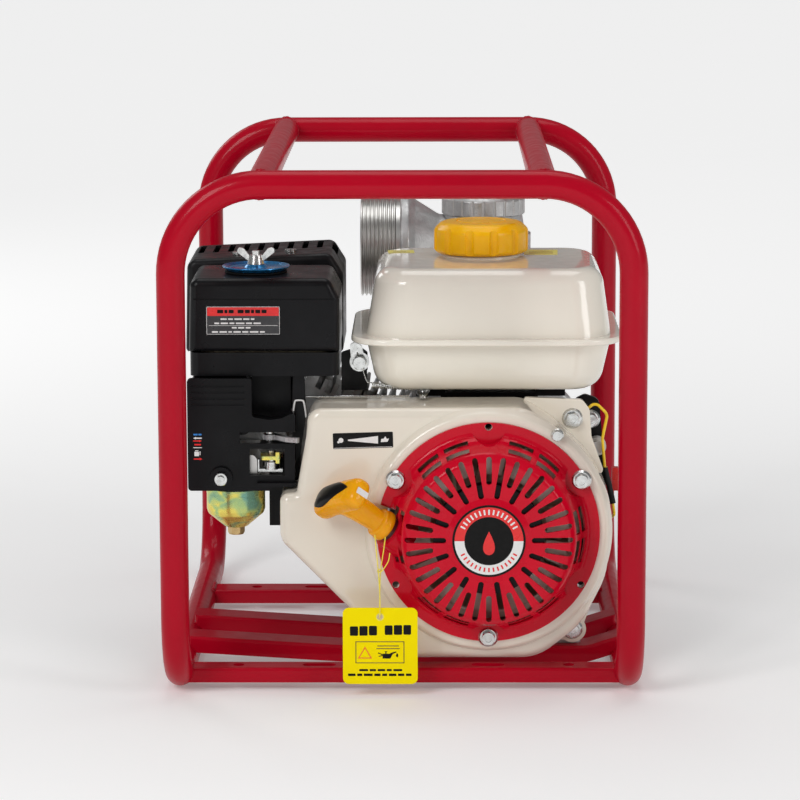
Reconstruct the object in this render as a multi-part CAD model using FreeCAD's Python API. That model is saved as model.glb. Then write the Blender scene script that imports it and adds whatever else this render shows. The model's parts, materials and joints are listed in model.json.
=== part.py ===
import FreeCAD, Part
import os, math

# Portable fire pump: petrol engine and centrifugal pump in a bent-tube carrying frame.
# Millimetres. +Z up, -Y the recoil-starter side, +X to the right of the starter.
V = FreeCAD.Vector
os.makedirs("parts", exist_ok=True)

# ---------------------------------------------------------------- driving dimensions
TUBE_R = 11.25          # frame tube outside radius (22.5 mm tube)
TUBE_I = 9.25           # inside radius
HX = 180.25             # hoop centreline half width
HY = 237.75             # hoop centreline half depth
ZTOP = 411.75           # top bar centreline height
RB = 58.0               # bottom bend radius
RT = 70.0               # top bend radius
RAILX = 110.0           # top side rail centreline
RAIL_TOP = 22.1         # engine rail seat height
RAIL_W = 29.0
RAIL_Y = (-131.0, -55.5)
MX = (-30.0, 132.0)     # engine foot bolt columns
MY = (-126.0, -50.5)    # engine foot bolt rows
CX, CZ = 68.0, 128.8    # crank axis (runs along Y)
CYLY = -56.0            # cylinder centre plane
TILT = 25.0             # cylinder tilt above horizontal, leaning to -X
YF = -198.0             # starter flange plane
YPTO = 26.0             # power take-off face
CAPX, CAPY = 63.8, -48.0
PORTY, PORTZ = 130.0, 318.0
PORT_R = 44.0           # 3 inch hose thread outside radius
BORE_R = 36.0
SUCZ = 190.0

NODES = {}

# ---------------------------------------------------------------- helpers
def add(name, shape):
    if shape.ShapeType == "Compound" and len(shape.Solids) == 1:
        shape = shape.Solids[0]
    if not shape.isValid():
        shape.fix(0.001, 0.001, 0.001)
    if not shape.isValid():
        print("INVALID", name)
    if not shape.Solids:
        print("NO SOLID", name)
    NODES[name] = shape
    return shape

def box(x0, x1, y0, y1, z0, z1):
    return Part.makeBox(x1 - x0, y1 - y0, z1 - z0, V(x0, y0, z0))

def cyl(p, d, r, h):
    return Part.makeCylinder(r, h, V(*p), V(*d))

def cyly(x, z, r, y0, y1):
    return Part.makeCylinder(r, y1 - y0, V(x, y0, z), V(0, 1, 0))

def cylz(x, y, r, z0, z1):
    return Part.makeCylinder(r, z1 - z0, V(x, y, z0), V(0, 0, 1))

def cylx(y, z, r, x0, x1):
    return Part.makeCylinder(r, x1 - x0, V(x0, y, z), V(1, 0, 0))

def fuse(items):
    s = items[0]
    if len(items) > 1:
        s = s.multiFuse(items[1:])
    try:
        s = s.removeSplitter()
    except Exception:
        pass
    return s

def cut(s, tools):
    if not isinstance(tools, (list, tuple)):
        tools = [tools]
    return s.cut(list(tools))

def group(items):
    return Part.makeCompound(items)

def wire2d(pts, rad, fn):
    n = len(pts)
    if not isinstance(rad, (list, tuple)):
        rad = [rad] * n
    seg = []
    for i in range(n):
        p0, p, p1 = pts[i - 1], pts[i], pts[(i + 1) % n]
        a = (p0[0] - p[0], p0[1] - p[1])
        b = (p1[0] - p[0], p1[1] - p[1])
        la, lb = math.hypot(*a), math.hypot(*b)
        a = (a[0] / la, a[1] / la)
        b = (b[0] / lb, b[1] / lb)
        c = max(-1, min(1, a[0] * b[0] + a[1] * b[1]))
        ang = math.acos(c)
        r = rad[i]
        if r <= 0 or ang > math.pi - 1e-3:
            seg.append((p, None, p))
            continue
        t = min(r / math.tan(ang / 2), 0.49 * la, 0.49 * lb)
        r = t * math.tan(ang / 2)
        bx, by = a[0] + b[0], a[1] + b[1]
        lc = math.hypot(bx, by)
        bx, by = bx / lc, by / lc
        d = r / math.sin(ang / 2)
        m = (p[0] + bx * (d - r), p[1] + by * (d - r))
        seg.append(((p[0] + a[0] * t, p[1] + a[1] * t), m, (p[0] + b[0] * t, p[1] + b[1] * t)))
    edges = []
    for i in range(n):
        a, m, b = seg[i]
        if m is not None:
            edges.append(Part.Arc(fn(*a), fn(*m), fn(*b)).toShape())
        nx = seg[(i + 1) % n][0]
        if math.hypot(nx[0] - b[0], nx[1] - b[1]) > 1e-6:
            edges.append(Part.makeLine(fn(*b), fn(*nx)))
    return Part.Wire(edges)

def prism_xz(pts, y0, y1, rad=0):
    return Part.Face(wire2d(pts, rad, lambda a, b: V(a, y0, b))).extrude(V(0, y1 - y0, 0))

def prism_xy(pts, z0, z1, rad=0):
    return Part.Face(wire2d(pts, rad, lambda a, b: V(a, b, z0))).extrude(V(0, 0, z1 - z0))

def prism_yz(pts, x0, x1, rad=0):
    return Part.Face(wire2d(pts, rad, lambda a, b: V(x0, a, b))).extrude(V(x1 - x0, 0, 0))

def rect(x0, x1, y0, y1):
    return [(x0, y0), (x1, y0), (x1, y1), (x0, y1)]

def loft_rect(secs):
    ws = []
    for (x0, x1, y0, y1, z, r) in secs:
        ws.append(wire2d(rect(x0, x1, y0, y1), r, lambda a, b, z=z: V(a, b, z)))
    return Part.makeLoft(ws, True, True)

def revolve_y(pts, rad=0, x=CX, z=CZ):
    # pts are (radius, y), revolved about the axis along Y through (x, z)
    f = Part.Face(wire2d(pts, rad, lambda a, b: V(x + a, b, z)))
    return f.revolve(V(x, 0, z), V(0, 1, 0), 360)

def revolve_z(pts, x, y, rad=0):
    f = Part.Face(wire2d(pts, rad, lambda a, b: V(x + a, y, b)))
    return f.revolve(V(x, y, 0), V(0, 0, 1), 360)

def revolve_x(pts, y, z, rad=0):
    f = Part.Face(wire2d(pts, rad, lambda a, b: V(b, y, z + a)))
    return f.revolve(V(0, y, z), V(1, 0, 0), 360)

def bent(points, radii):
    pts = [V(*p) for p in points]
    edges = []
    last = pts[0]
    for i in range(1, len(pts) - 1):
        p = pts[i]
        a = (pts[i - 1] - p)
        b = (pts[i + 1] - p)
        a.normalize(); b.normalize()
        ang = a.getAngle(b)
        r = radii[i - 1]
        t = r / math.tan(ang / 2)
        s = p + a * t
        e = p + b * t
        bis = a + b
        bis.normalize()
        m = p + bis * (r / math.sin(ang / 2) - r)
        if (s - last).Length > 1e-4:
            edges.append(Part.makeLine(last, s))
        edges.append(Part.Arc(s, m, e).toShape())
        last = e
    if (pts[-1] - last).Length > 1e-4:
        edges.append(Part.makeLine(last, pts[-1]))
    return Part.Wire(edges)

def sweep(wire, r):
    e = wire.Edges[0]
    p = e.valueAt(e.FirstParameter)
    d = e.tangentAt(e.FirstParameter)
    q = wire.Vertexes[0].Point
    c = Part.Wire(Part.makeCircle(r, p, d))
    s = wire.makePipeShell([c], True, False)
    if s.Volume < 0:
        s.reverse()
    return s

def tube(points, radii, r, ri=None):
    w = bent(points, radii)
    s = sweep(w, r)
    if ri:
        s = s.cut(sweep(w, ri))
    return s

def place(shape, p, d, spin=0.0):
    s = shape.copy()
    if spin:
        s.rotate(V(0, 0, 0), V(0, 0, 1), spin)
    s.Placement = FreeCAD.Placement(V(*p), FreeCAD.Rotation(V(0, 0, 1), V(*d))).multiply(s.Placement)
    return s

def hexprism(af, h, z0=0.0):
    r = af / math.sqrt(3)
    pts = [(r * math.cos(math.radians(60 * i)), r * math.sin(math.radians(60 * i))) for i in range(6)]
    s = prism_xy(pts, z0, z0 + h)
    cone = Part.makeCone(r * 1.0, r * 0.86, h * 0.30, V(0, 0, z0 + h * 0.70), V(0, 0, 1))
    top = prism_xy(pts, z0, z0 + h * 0.70)
    return top.fuse(s.common(cone)).removeSplitter()

def bolt(p, d, r, length, af, hh, fl=0.0, spin=0.0):
    # p under the head, d the way the shank points
    s = [Part.makeCylinder(r, length, V(0, 0, 0), V(0, 0, -1))]
    z = 0.0
    if fl:
        s.append(Part.makeCone(fl, fl * 0.82, 1.8))
        z = 1.2
    s.append(hexprism(af, hh, z))
    b = fuse(s)
    b = cut(b, cylz(0, 0, af * 0.28, z + hh - 0.8, z + hh + 1))
    return place(b, p, (-d[0], -d[1], -d[2]), spin)

def head(p, d, af, hh, fl=0.0, spin=0.0):
    # bolt head standing on a face at p, d is the way it stands out
    s = [hexprism(af, hh, 1.2 if fl else 0.0)]
    if fl:
        s.append(Part.makeCone(fl, fl * 0.82, 1.8))
    return place(fuse(s), p, d, spin)

def nut(p, d, ri, af, h, spin=0.0):
    n = cut(hexprism(af, h), cylz(0, 0, ri, -1, h + 1))
    return place(n, p, d, spin)

def fil(shape, r, test):
    es = []
    for e in shape.Edges:
        try:
            if test(e):
                es.append(e)
        except Exception:
            pass
    if not es:
        return shape
    try:
        s = shape.makeFillet(r, es)
        if s.isValid():
            return s
    except Exception:
        pass
    print("fillet skipped", r, len(es))
    return shape

def mid(e):
    return e.valueAt((e.FirstParameter + e.LastParameter) / 2)

# cylinder frame: local x along the barrel from the crank, local y to -Y, local z up the tilt
ct, st = math.cos(math.radians(TILT)), math.sin(math.radians(TILT))
MAT = FreeCAD.Matrix(-ct, 0, st, CX, 0, -1, 0, CYLY, st, 0, ct, CZ, 0, 0, 0, 1)
def local(shape):
    s = shape.copy()
    s.transformShape(MAT, True)
    return s
def lw(x, y, z):
    return V(CX - ct * x + st * z, CYLY - y, CZ + st * x + ct * z)

# ---------------------------------------------------------------- frame
def hoop(sign):
    e = sign * (HY - RB - 4)
    pts = [(-HX, e, TUBE_R), (-HX, sign * HY, TUBE_R), (-HX, sign * HY, ZTOP), (HX, sign * HY, ZTOP),
           (HX, sign * HY, TUBE_R), (HX, e, TUBE_R)]
    w = bent(pts, [RB, RT, RT, RB])
    HW.append(w)
    return sweep(w, TUBE_R), sweep(w, TUBE_I)
HW = []
hf, hfi = hoop(-1)
hr, hri = hoop(1)
add("front_hoop", hf.cut(hfi))
add("rear_hoop", hr.cut(hri))
YE = HY - RB - 4
rl_s = cyl((-HX, -YE, TUBE_R), (0, 1, 0), TUBE_R, 2 * YE)
rr_s = cyl((HX, -YE, TUBE_R), (0, 1, 0), TUBE_R, 2 * YE)
add("bottom_rails", group([rl_s.cut(cyl((-HX, -YE - 1, TUBE_R), (0, 1, 0), TUBE_I, 2 * YE + 2)),
                          rr_s.cut(cyl((HX, -YE - 1, TUBE_R), (0, 1, 0), TUBE_I, 2 * YE + 2))]))
tops = []
for x in (-RAILX, RAILX):
    t = cyl((x, -HY, ZTOP), (0, 1, 0), TUBE_R, 2 * HY).cut(cyl((x, -HY - 1, ZTOP), (0, 1, 0), TUBE_I, 2 * HY + 2))
    t = t.cut(sweep(HW[0], TUBE_R + 0.08)).cut(sweep(HW[1], TUBE_R + 0.08))
    tops.append(sorted(t.Solids, key=lambda q: q.Volume)[-1])
add("top_rails", group(tops))

def crossbar(y0, y1, z0, z1, holes):
    t = 2.5
    s = box(-HX, HX, y0, y1, z0, z1)
    s = fil(s, 2.5, lambda e: abs(mid(e).z - z1) < 0.01 and e.Length > 100)
    s = s.cut(box(-HX - 1, HX + 1, y0 + t, y1 - t, z0 - 1, z1 - t))
    s = s.cut([hf, hr, rl_s, rr_s])
    ym = (y0 + y1) / 2
    tools = []
    for (x, half) in holes:
        if half:
            tools.append(box(x - half, x + half, ym - 4.5, ym + 4.5, z0, z1 + 1))
            tools.append(cylz(x - half, ym, 4.5, z0, z1 + 1))
            tools.append(cylz(x + half, ym, 4.5, z0, z1 + 1))
        else:
            tools.append(cylz(x, ym, 4.5, z0, z1 + 1))
    for h in tools:
        s = s.cut(h)
    return s
add("cross_bars", group([crossbar(-204, -181, 6.5, 18.4, [(-133, 0), (133, 0), (-68, 9), (68, 9)]),
                        crossbar(75, 103, 6.5, 18.4, [(-133, 0), (133, 0), (-77, 9), (77, 9)])]))

rails = []
zt = RAIL_TOP
for yc, ym in zip(RAIL_Y, MY):
    o = prism_xz([(-177, zt + 8.3), (-45, zt), (150, zt), (177, zt + 8.6), (177, zt - 5), (150, zt - 13.5),
                  (-45, zt - 13.5), (-177, zt - 5.2)], yc - RAIL_W / 2, yc + RAIL_W / 2, [0, 60, 25, 0, 0, 25, 60, 0])
    o = fil(o, 2.5, lambda e: mid(e).z > zt - 4 and e.BoundBox.YLength < 0.01 and e.Length > 3)
    i = prism_xz([(-178, zt + 5.4), (-45, zt - 3), (150, zt - 3), (178, zt + 5.7), (178, 0), (-178, 0)],
                 yc - RAIL_W / 2 + 3, yc + RAIL_W / 2 - 3, [0, 57, 22, 0, 0, 0])
    s = o.cut(i).cut([rl_s, rr_s, hf, hr])
    for x in MX:
        s = s.cut(cylz(x, ym, 4.5, 0, 60))
    rails.append(s)
add("engine_rails", group(rails))

# ---------------------------------------------------------------- crankcase and cylinder
CCY0, CCY1 = -128.0, -10.0
cc_pts = [(-20, 34), (150, 34), (138, 90), (136, 150), (112, 196), (60, 202), (18, 190), (-8, 150), (-18, 90)]
cc = prism_xz(cc_pts, CCY0, CCY1, [6, 10, 30, 30, 26, 20, 12, 12, 20])
feet = []
for ym in MY:
    for x in MX:
        feet.append(prism_xy(rect(x - 13, x + 13, max(-133.5, ym - 12), ym + 12), RAIL_TOP, 35, 3))
foot_web = box(-20, 144, CCY0, CCY1, 28, 36)
cc = fuse([cc, foot_web] + feet)
barrel_root = local(Part.makeBox(64, 90, 92, V(0, -45, -46)))
fins = []
for i in range(9):
    f = Part.makeBox(2.2, 90, 100, V(66 + 8 * i, -45, -50))
    fins.append(fil(f, 12, lambda e: abs(abs(mid(e).y) - 45) < 0.01 and abs(abs(mid(e).z) - 50) < 0.01))
barrel = [Part.makeCylinder(41, 80, V(60, 0, 0), V(1, 0, 0))] + fins + [Part.makeBox(6, 90, 92, V(134, -45, -46))]
cc = fuse([cc, barrel_root] + [local(q) for q in barrel])
cc = cc.cut(cyly(CX, CZ, 54, CCY0 + 10, CCY1 + 5))
cc = cc.cut(box(0, 128, CCY0 + 10, CCY1 + 5, 46, 100))
cc = cc.cut(cyly(CX, CZ, 14.0, CCY0 - 5, CCY0 + 20))
cc = cc.cut(local(Part.makeCylinder(34.2, 145, V(0, 0, 0), V(1, 0, 0))))
for ym in MY:
    for x in MX:
        cc = cc.cut(cylz(x, ym, 4.5, 0, 37))
        cc = cc.cut(cylz(x, ym, 10.5, 34.9, 60))
cc = cc.cut(cylx(-70, 62, 9.0, 120, 160))
add("crankcase", cc)
hd = Part.makeBox(40, 90, 84, V(140.4, -45, -42)).cut([Part.makeBox(5, 120, 30, V(148 + 9 * i, -60, s)) for i in range(3) for s in (-62, 32)])
hd = hd.cut(Part.makeSphere(30, V(130, 0, 0)))
hd = hd.cut(Part.makeCylinder(5.2, 20, V(158, 31, 16), V(0, 1, 0)))
add("cylinder_head", local(hd))
rc = prism_yz(rect(-32, 32, -28, 28), 180.6, 206, 10)
rc = fil(rc, 7, lambda e: abs(mid(e).x - 206) < 0.01)
rc = rc.cut(prism_yz(rect(-30, 30, -26, 26), 180, 204, 8))
rim = prism_yz(rect(-41, 41, -33, 33), 180.6, 183, 10).cut(prism_yz(rect(-31, 31, -27, 27), 180, 184, 9))
rcov = fuse([rc, rim])
add("rocker_cover", local(rcov))
EB = [local(head((183.02, a, 0), (1, 0, 0), 8, 4, 0.0)) for a in (-36.9, 36.9)]
pis = Part.makeCylinder(34.0, 46, V(92, 0, 0), V(1, 0, 0)).cut(Part.makeCylinder(30, 40, V(91, 0, 0), V(1, 0, 0)))
for x in (126, 130, 134):
    pis = pis.cut(Part.makeCylinder(35, 1.5, V(x, 0, 0), V(1, 0, 0)).cut(Part.makeCylinder(31.5, 1.5, V(x, 0, 0), V(1, 0, 0))))
pis = pis.cut(Part.makeCylinder(9.2, 80, V(111, -40, 0), V(0, 1, 0)))
PIS = [pis]
PIS += [Part.makeCylinder(34.05, 1.4, V(x + 0.05, 0, 0), V(1, 0, 0)).cut(Part.makeCylinder(31.7, 1.4, V(x + 0.05, 0, 0), V(1, 0, 0))) for x in (126, 130, 134)]
PIS.append(Part.makeCylinder(9.1, 58, V(111, -29, 0), V(0, 1, 0)).cut(Part.makeCylinder(6, 62, V(111, -31, 0), V(0, 1, 0))))
add("piston", local(group(PIS)))
# studs through the head
for (a, b) in ((40, 36.5), (-40, 36.5), (40, -36.5), (-40, -36.5)):
    EB.append(local(head((180.42, a, b), (1, 0, 0), 8, 5.5, 0.0)))

# spark plug, cap and high-tension lead (on the front face of the head)
sp_p = lw(158, 45.2, 16)
plug = fuse([place(Part.makeCylinder(8, 7), sp_p, (0, -1, 0)), place(Part.makeCylinder(4.5, 20), sp_p, (0, -1, 0)),
             place(Part.makeCylinder(5.0, 12, V(0, 0, -12)), sp_p, (0, -1, 0))])
add("spark_plug", plug)

# side cover (power take-off side)
sc = prism_xz(cc_pts, CCY1 + 0.3, 6, [6, 10, 30, 30, 26, 20, 12, 12, 20])
sc = fil(sc, 3, lambda e: abs(mid(e).y - 6) < 0.01)
sc = fuse([sc, cyly(CX, CZ, 54, 0, YPTO), box(16, 118, 0, 20, 60, 100)])
sc = sc.cut(cyly(CX, CZ, 14.0, CCY1 - 2, YPTO + 2)).cut(cyly(CX, CZ, 48, CCY1, -4))
sc = sc.cut(cyly(CX, CZ, 26.2, -5, 9))
pto_bolts = [(CX + 46.5 * math.cos(math.radians(a)), CZ + 46.5 * math.sin(math.radians(a))) for a in (45, 135, 225, 315)]
for (x, z) in pto_bolts:
    sc = sc.cut(cyly(x, z, 4.2, 8, 30))
add("side_cover", sc)
for (x, z) in ((-6, 60), (-2, 124), (28, 180), (104, 188), (127, 150), (128, 112), (136, 50), (60, 44)):
    EB.append(head((x, 6.02, z), (0, 1, 0), 10, 5, 6.5))
def ring(x, z, ro, ri, y0, y1):
    return cyly(x, z, ro, y0, y1).cut(cyly(x, z, ri, y0 - 1, y1 + 1))
SEALS = ([ring(CX, CZ, 26.1, 22, -4.9, 8.9), ring(CX, CZ, 17, 14.0, -4.9, 8.9)] +
    [Part.makeSphere(2.4, V(CX + 19.5 * math.cos(math.radians(a)), 2, CZ + 19.5 * math.sin(math.radians(a)))) for a in range(0, 360, 40)])

# oil filler caps and drain bolt
def knob(p, d, r, h, ns):
    s = Part.makeCylinder(r, h)
    for k in range(ns):
        a = 2 * math.pi * k / ns
        s = s.cut(cylz((r + 1.2) * math.cos(a), (r + 1.2) * math.sin(a), 2.2, -1, h + 1))
    s = fuse([s, Part.makeCylinder(r * 0.62, h + 4)])
    return place(s, p, d)
cap = fuse([knob((0, 0, 0), (0, 0, 1), 14, 7, 10), Part.makeCylinder(8.9, 10, V(0, 0, 0), V(0, 0, -1)), Part.makeCylinder(2, 30, V(0, 0, 0), V(0, 0, -1))])
add("oil_filler_cap", place(cap, (149.9, -70, 62), (1, 0, 0)))
EB.append(head((-20.05, -92, 46), (-1, 0, 0), 14, 7, 9))
for x in MX:
    for ym in MY:
        EB.append(fuse([cylz(x, ym, 4.0, 6, 37), place(hexprism(12, 6), (x, ym, 35.02), (0, 0, 1))]))
        EB.append(nut((x, ym, RAIL_TOP - 3.02), (0, 0, -1), 4.02, 12, 6))
add("engine_bolts", group(EB))

# crankshaft with webs, flywheel, fan, starter cup (turn together)
webs = []
for y in (CYLY - 22, CYLY + 10):
    webs.append(cyly(CX, CZ, 44, y, y + 12))
cs = fuse([cyly(CX, CZ, 13.93, -178.65, CYLY - 22), cyly(CX, CZ, 13.93, CYLY + 22, 24)] + webs +
          [cyly(CX, CZ, 9.5, 24, 97), cyly(CX - 27 * ct, CZ + 27 * st, 12, CYLY - 12, CYLY + 12), cyly(CX, CZ, 7, -190, -178.7)])
add("crankshaft", cs)
fw = revolve_y([(14.05, -172), (72, -172), (80, -168), (80, -150), (70, -150), (66, -162), (26, -162), (24, -144), (14.05, -144)], [0, 4, 3, 2, 2, 3, 3, 1, 0])
blades = [revolve_y([(26, -175.2), (76, -175.2), (76, -172.2), (26, -172.2)])]
for k in range(14):
    b = box(CX + 42, CX + 76, -1.2, 1.2, 0, 1)
    b = Part.makeBox(33, 14, 2.4, V(CX + 42, -189, CZ - 1.2))
    b.rotate(V(CX + 42, 0, CZ), V(0, 1, 0), 28)
    b.rotate(V(CX, 0, CZ), V(0, 1, 0), 360.0 / 14 * k)
    blades.append(b)
fan = fuse(blades).common(cyly(CX, CZ, 78, -195, -170))
add("cooling_fan", fan)
cup = revolve_y([(14.05, -175.2 + 0.0), (36, -175.2), (36, -204), (33.5, -204), (33.5, -178), (14.05, -178)], 0)
cup = revolve_y([(14.05, -175.4), (25.9, -175.4), (34, -178), (34, -205), (31.5, -205), (31.5, -180.5), (14.05, -178.2)], 0)
for k in range(3):
    w = Part.makeBox(60, 12, 14, V(CX, -200, CZ - 7))
    w.rotate(V(CX, 0, CZ), V(0, 1, 0), 120 * k)
    cup = cup.cut(w)
add("flywheel", group([fw, cup, place(cut(hexprism(22, 9), cylz(0, 0, 7.02, -1, 12)), (CX, -180.6, CZ), (0, -1, 0))]))
ICOIL = (fuse([box(54, 84, -166, -150, 210, 219), box(58, 78, -164, -152, 218, 223)]))

# ---------------------------------------------------------------- fan cover
fc_pts = [(-76, 227), (98, 227.3), (121, 212.5), (150, 184.5), (164, 160), (168.5, 128.8), (162, 88), (143, 50), (108, 22.8), (6, 22.8),
          (-44, 64), (-99, 120), (-99, 157.2), (-85.6, 158.8), (-83.4, 172), (-77.5, 205)]
fc_r = [16, 30, 40, 60, 60, 60, 60, 60, 40, 14, 60, 16, 7, 3, 40, 60]
fo = prism_xz(fc_pts, -191, -134, fc_r)
fo = fil(fo, 7, lambda e: abs(mid(e).y + 191) < 0.01)
drum = revolve_y([(0, -197.7), (95.5, -197.7), (99.5, -190), (0, -190)], [0, 4, 0, 0])
EAR_U = prism_xz([(96, 228.0), (145, 226), (151, 218), (152.5, 196), (166, 158), (120, 190)], -139, -134, [2, 6, 8, 10, 4, 2])
EAR_L = fuse([cyly(138, 35, 11.2, -139, -134), prism_xz([(128, 26), (142, 26), (164, 84), (150, 90), (120, 40)], -139, -134, 3)])
fo = fuse([fo, drum.common(box(-200, 168.4, -300, 0, 22.9, 300)), EAR_U, EAR_L])
fi_pts = [(-74, 225), (97.6, 225.3), (120, 210.8), (148.2, 183.6), (162, 159.8), (166.5, 128.8), (160, 89), (141.5, 51.5), (107, 24.8), (7, 24.8),
          (-42.6, 65.5), (-97, 121), (-97, 155.2), (-83.6, 156.8), (-81.3, 172.4), (-75.5, 205)]
fi = prism_xz(fi_pts, -189, -133, [14, 28, 38, 58, 58, 58, 58, 58, 38, 12, 58, 14, 5, 4, 38, 58])
fi = fil(fi, 5.5, lambda e: abs(mid(e).y + 189) < 0.01)
fo = fo.cut(fi).cut(cyly(CX, CZ, 82.5, -200, -180))
ears = [(137, 210.5), (138, 35)]
for (x, z) in ears:
    fo = fo.cut(cyly(x, z, 3.4, -200, -130))
BOSS = [90.0 + 60 * k for k in range(6)]
FB = [(CX + 85.5 * math.cos(math.radians(a)), CZ + 85.5 * math.sin(math.radians(a))) for a in BOSS]
for (x, z) in FB:
    fo = fo.cut(cyly(x, z, 2.6, -200, -185))
FANC = fo
CB = []
for (x, z) in ears:
    CB.append(bolt((x, -139.05, z), (0, 1, 0), 3.0, 5.2, 10, 6, 8.5, 12))
xs, zs = CX + 95.6 * math.cos(math.radians(55.2)), CZ + 95.6 * math.sin(math.radians(55.2))
CB.append(head((xs, -197.75, zs), (0, -1, 0), 7.5, 4, 5.2))

# ---------------------------------------------------------------- recoil starter
prof_o = [(0, -233), (29, -233), (34, -231.5), (64, -230.5), (69, -226), (76, -207), (80, -200.6), (89, -200.6), (89, -197.9),
          (78, -197.9), (73.5, -206), (66.6, -224), (63, -228), (34, -229), (29, -230.5), (0, -230.5)]
rec = revolve_y(prof_o, [0, 2, 2, 5, 6, 6, 4, 0, 0, 3, 5, 5, 4, 1, 1, 0])
# bolt recesses in the conical rim
for k, a in enumerate(BOSS):
    x, z = CX + 87 * math.cos(math.radians(a)), CZ + 87 * math.sin(math.radians(a))
    pocket = cyly(x, z, 14.5, -240, -200.6)
    bowl_o = cyly(x, z, 16.5, -232, -197.9).common(revolve_y([(0, -233), (29, -233), (64, -230.5), (69, -226), (76, -207), (80, -200.6), (89, -200.6), (89, -197.9), (0, -197.9)]))
    rec = fuse([rec, bowl_o.common(cyly(CX, CZ, 89, -240, -190))])
    rec = rec.cut(pocket)
for (x, z) in FB:
    rec = rec.cut(cyly(x, z, 3.0, -240, -190))
# radial cooling slots in the dome
tools = []
for k in range(36):
    r0 = 36.0 if k % 2 == 0 else 47.0
    s = fuse([Part.makeBox(64.5 - r0, 20, 4.4, V(CX + r0, -240, CZ - 2.2)), cyly(CX + r0, CZ, 2.2, -240, -220), cyly(CX + 64.5, CZ, 2.2, -240, -220)])
    s.rotate(V(CX, 0, CZ), V(0, 1, 0), 10 * k)
    tools.append(s)
rec = rec.cut(tools)
# groups of concentric slots on the cone between the bosses
tools = []
for k in range(6):
    for (r0, h) in ((71.0, 1.5), (75.6, 1.5), (80.2, 1.3)):
        for (a0, a1) in ((12.5, 28.0), (32.0, 47.5)):
            am = BOSS[k]
            f = Part.Face(Part.Wire([Part.makeCircle(r0 + h, V(CX, -240, CZ), V(0, 1, 0), -(am + a1), -(am + a0))] and
                [Part.Arc(V(CX + (r0 + h) * math.cos(math.radians(am + a0)), -240, CZ + (r0 + h) * math.sin(math.radians(am + a0))),
                          V(CX + (r0 + h) * math.cos(math.radians(am + (a0 + a1) / 2)), -240, CZ + (r0 + h) * math.sin(math.radians(am + (a0 + a1) / 2))),
                          V(CX + (r0 + h) * math.cos(math.radians(am + a1)), -240, CZ + (r0 + h) * math.sin(math.radians(am + a1)))).toShape(),
                 Part.makeLine(V(CX + (r0 + h) * math.cos(math.radians(am + a1)), -240, CZ + (r0 + h) * math.sin(math.radians(am + a1))),
                               V(CX + (r0 - h) * math.cos(math.radians(am + a1)), -240, CZ + (r0 - h) * math.sin(math.radians(am + a1)))),
                 Part.Arc(V(CX + (r0 - h) * math.cos(math.radians(am + a1)), -240, CZ + (r0 - h) * math.sin(math.radians(am + a1))),
                          V(CX + (r0 - h) * math.cos(math.radians(am + (a0 + a1) / 2)), -240, CZ + (r0 - h) * math.sin(math.radians(am + (a0 + a1) / 2))),
                          V(CX + (r0 - h) * math.cos(math.radians(am + a0)), -240, CZ + (r0 - h) * math.sin(math.radians(am + a0)))).toShape(),
                 Part.makeLine(V(CX + (r0 - h) * math.cos(math.radians(am + a0)), -240, CZ + (r0 - h) * math.sin(math.radians(am + a0))),
                               V(CX + (r0 + h) * math.cos(math.radians(am + a0)), -240, CZ + (r0 + h) * math.sin(math.radians(am + a0))))]))
            tools.append(f.extrude(V(0, 38.5, 0)))
rec = rec.cut([t for t in tools])
# rope guide opening at the upper left of the rim
GP = V(-13.0, -206.0, 134.0)                 # rope guide centre
GN = V(-0.74, -0.33, 0.585); GN.normalize()  # way the rope leaves
rope_hole = Part.makeCylinder(4.0, 60, GP - GN * 34, GN)
rboss = Part.makeCylinder(15.5, 17, GP - GN * 20.0, GN).common(box(-60, 200, -240, -197.9, 0, 300)).common(cyly(CX, CZ, 92, -240, -190)).cut(cyly(CX, CZ, 49, -240, -190))
rec = fuse([rec, rboss])
rec = rec.cut(Part.makeCylinder(16.0, 60, GP - GN * 3.0, GN)).cut(rope_hole)
if len(rec.Solids) > 1:
    rec = sorted(rec.Solids, key=lambda q: q.Volume)[-1]
add("recoil_case", rec)
FANC = FANC.cut(Part.makeCylinder(16.5, 40, GP - GN * 4.0, GN)).cut(Part.makeCylinder(17.0, 22, GP - GN * 22, GN))
add("fan_cover", FANC)
gd = fuse([Part.makeCylinder(10, 2.6, GP - GN * 3.0, GN)])
gd = gd.cut(Part.makeCylinder(4.0, 60, GP - GN * 34, GN))

for k in (1, 3, 5):
    x, z = FB[k]
    CB.append(bolt((x, -200.65, z), (0, 1, 0), 2.5, 14, 10, 6, 8.0, 7 * k))
reel = revolve_y([(8.05, -227.6), (44, -227.6), (44, -226.2), (36, -225.0), (36, -215.2), (44, -214.0), (44, -212.4), (8.05, -212.4)], 0)
reel = reel.cut(revolve_y([(14, -230), (32, -230), (32, -217), (14, -217)], 0))
add("recoil_reel", reel)
rope_w = []
for (rr, yy) in ((37.4, -222.9), (37.4, -220.1), (37.4, -217.3), (40.0, -221.5), (40.0, -218.7)):
    rope_w.append(Part.makeTorus(rr, 1.3, V(CX, yy, CZ), V(0, 1, 0)))
add("recoil_rope", group(rope_w))
RI = [gd, (cyly(CX, CZ, 8.0, -230.45, -209.6).cut(cyly(CX, CZ, 3.0, -212, -200)))]
RI.append(cyly(CX, CZ, 17, -212.0, -210.0).cut(cyly(CX, CZ, 8.02, -215, -200)))
spr = RI
for k in range(6):
    spr.append(ring(CX, CZ, 17.0 + 2.4 * k, 16.4 + 2.4 * k, -227.4, -218))
add("recoil_internals", group(RI))

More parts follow.
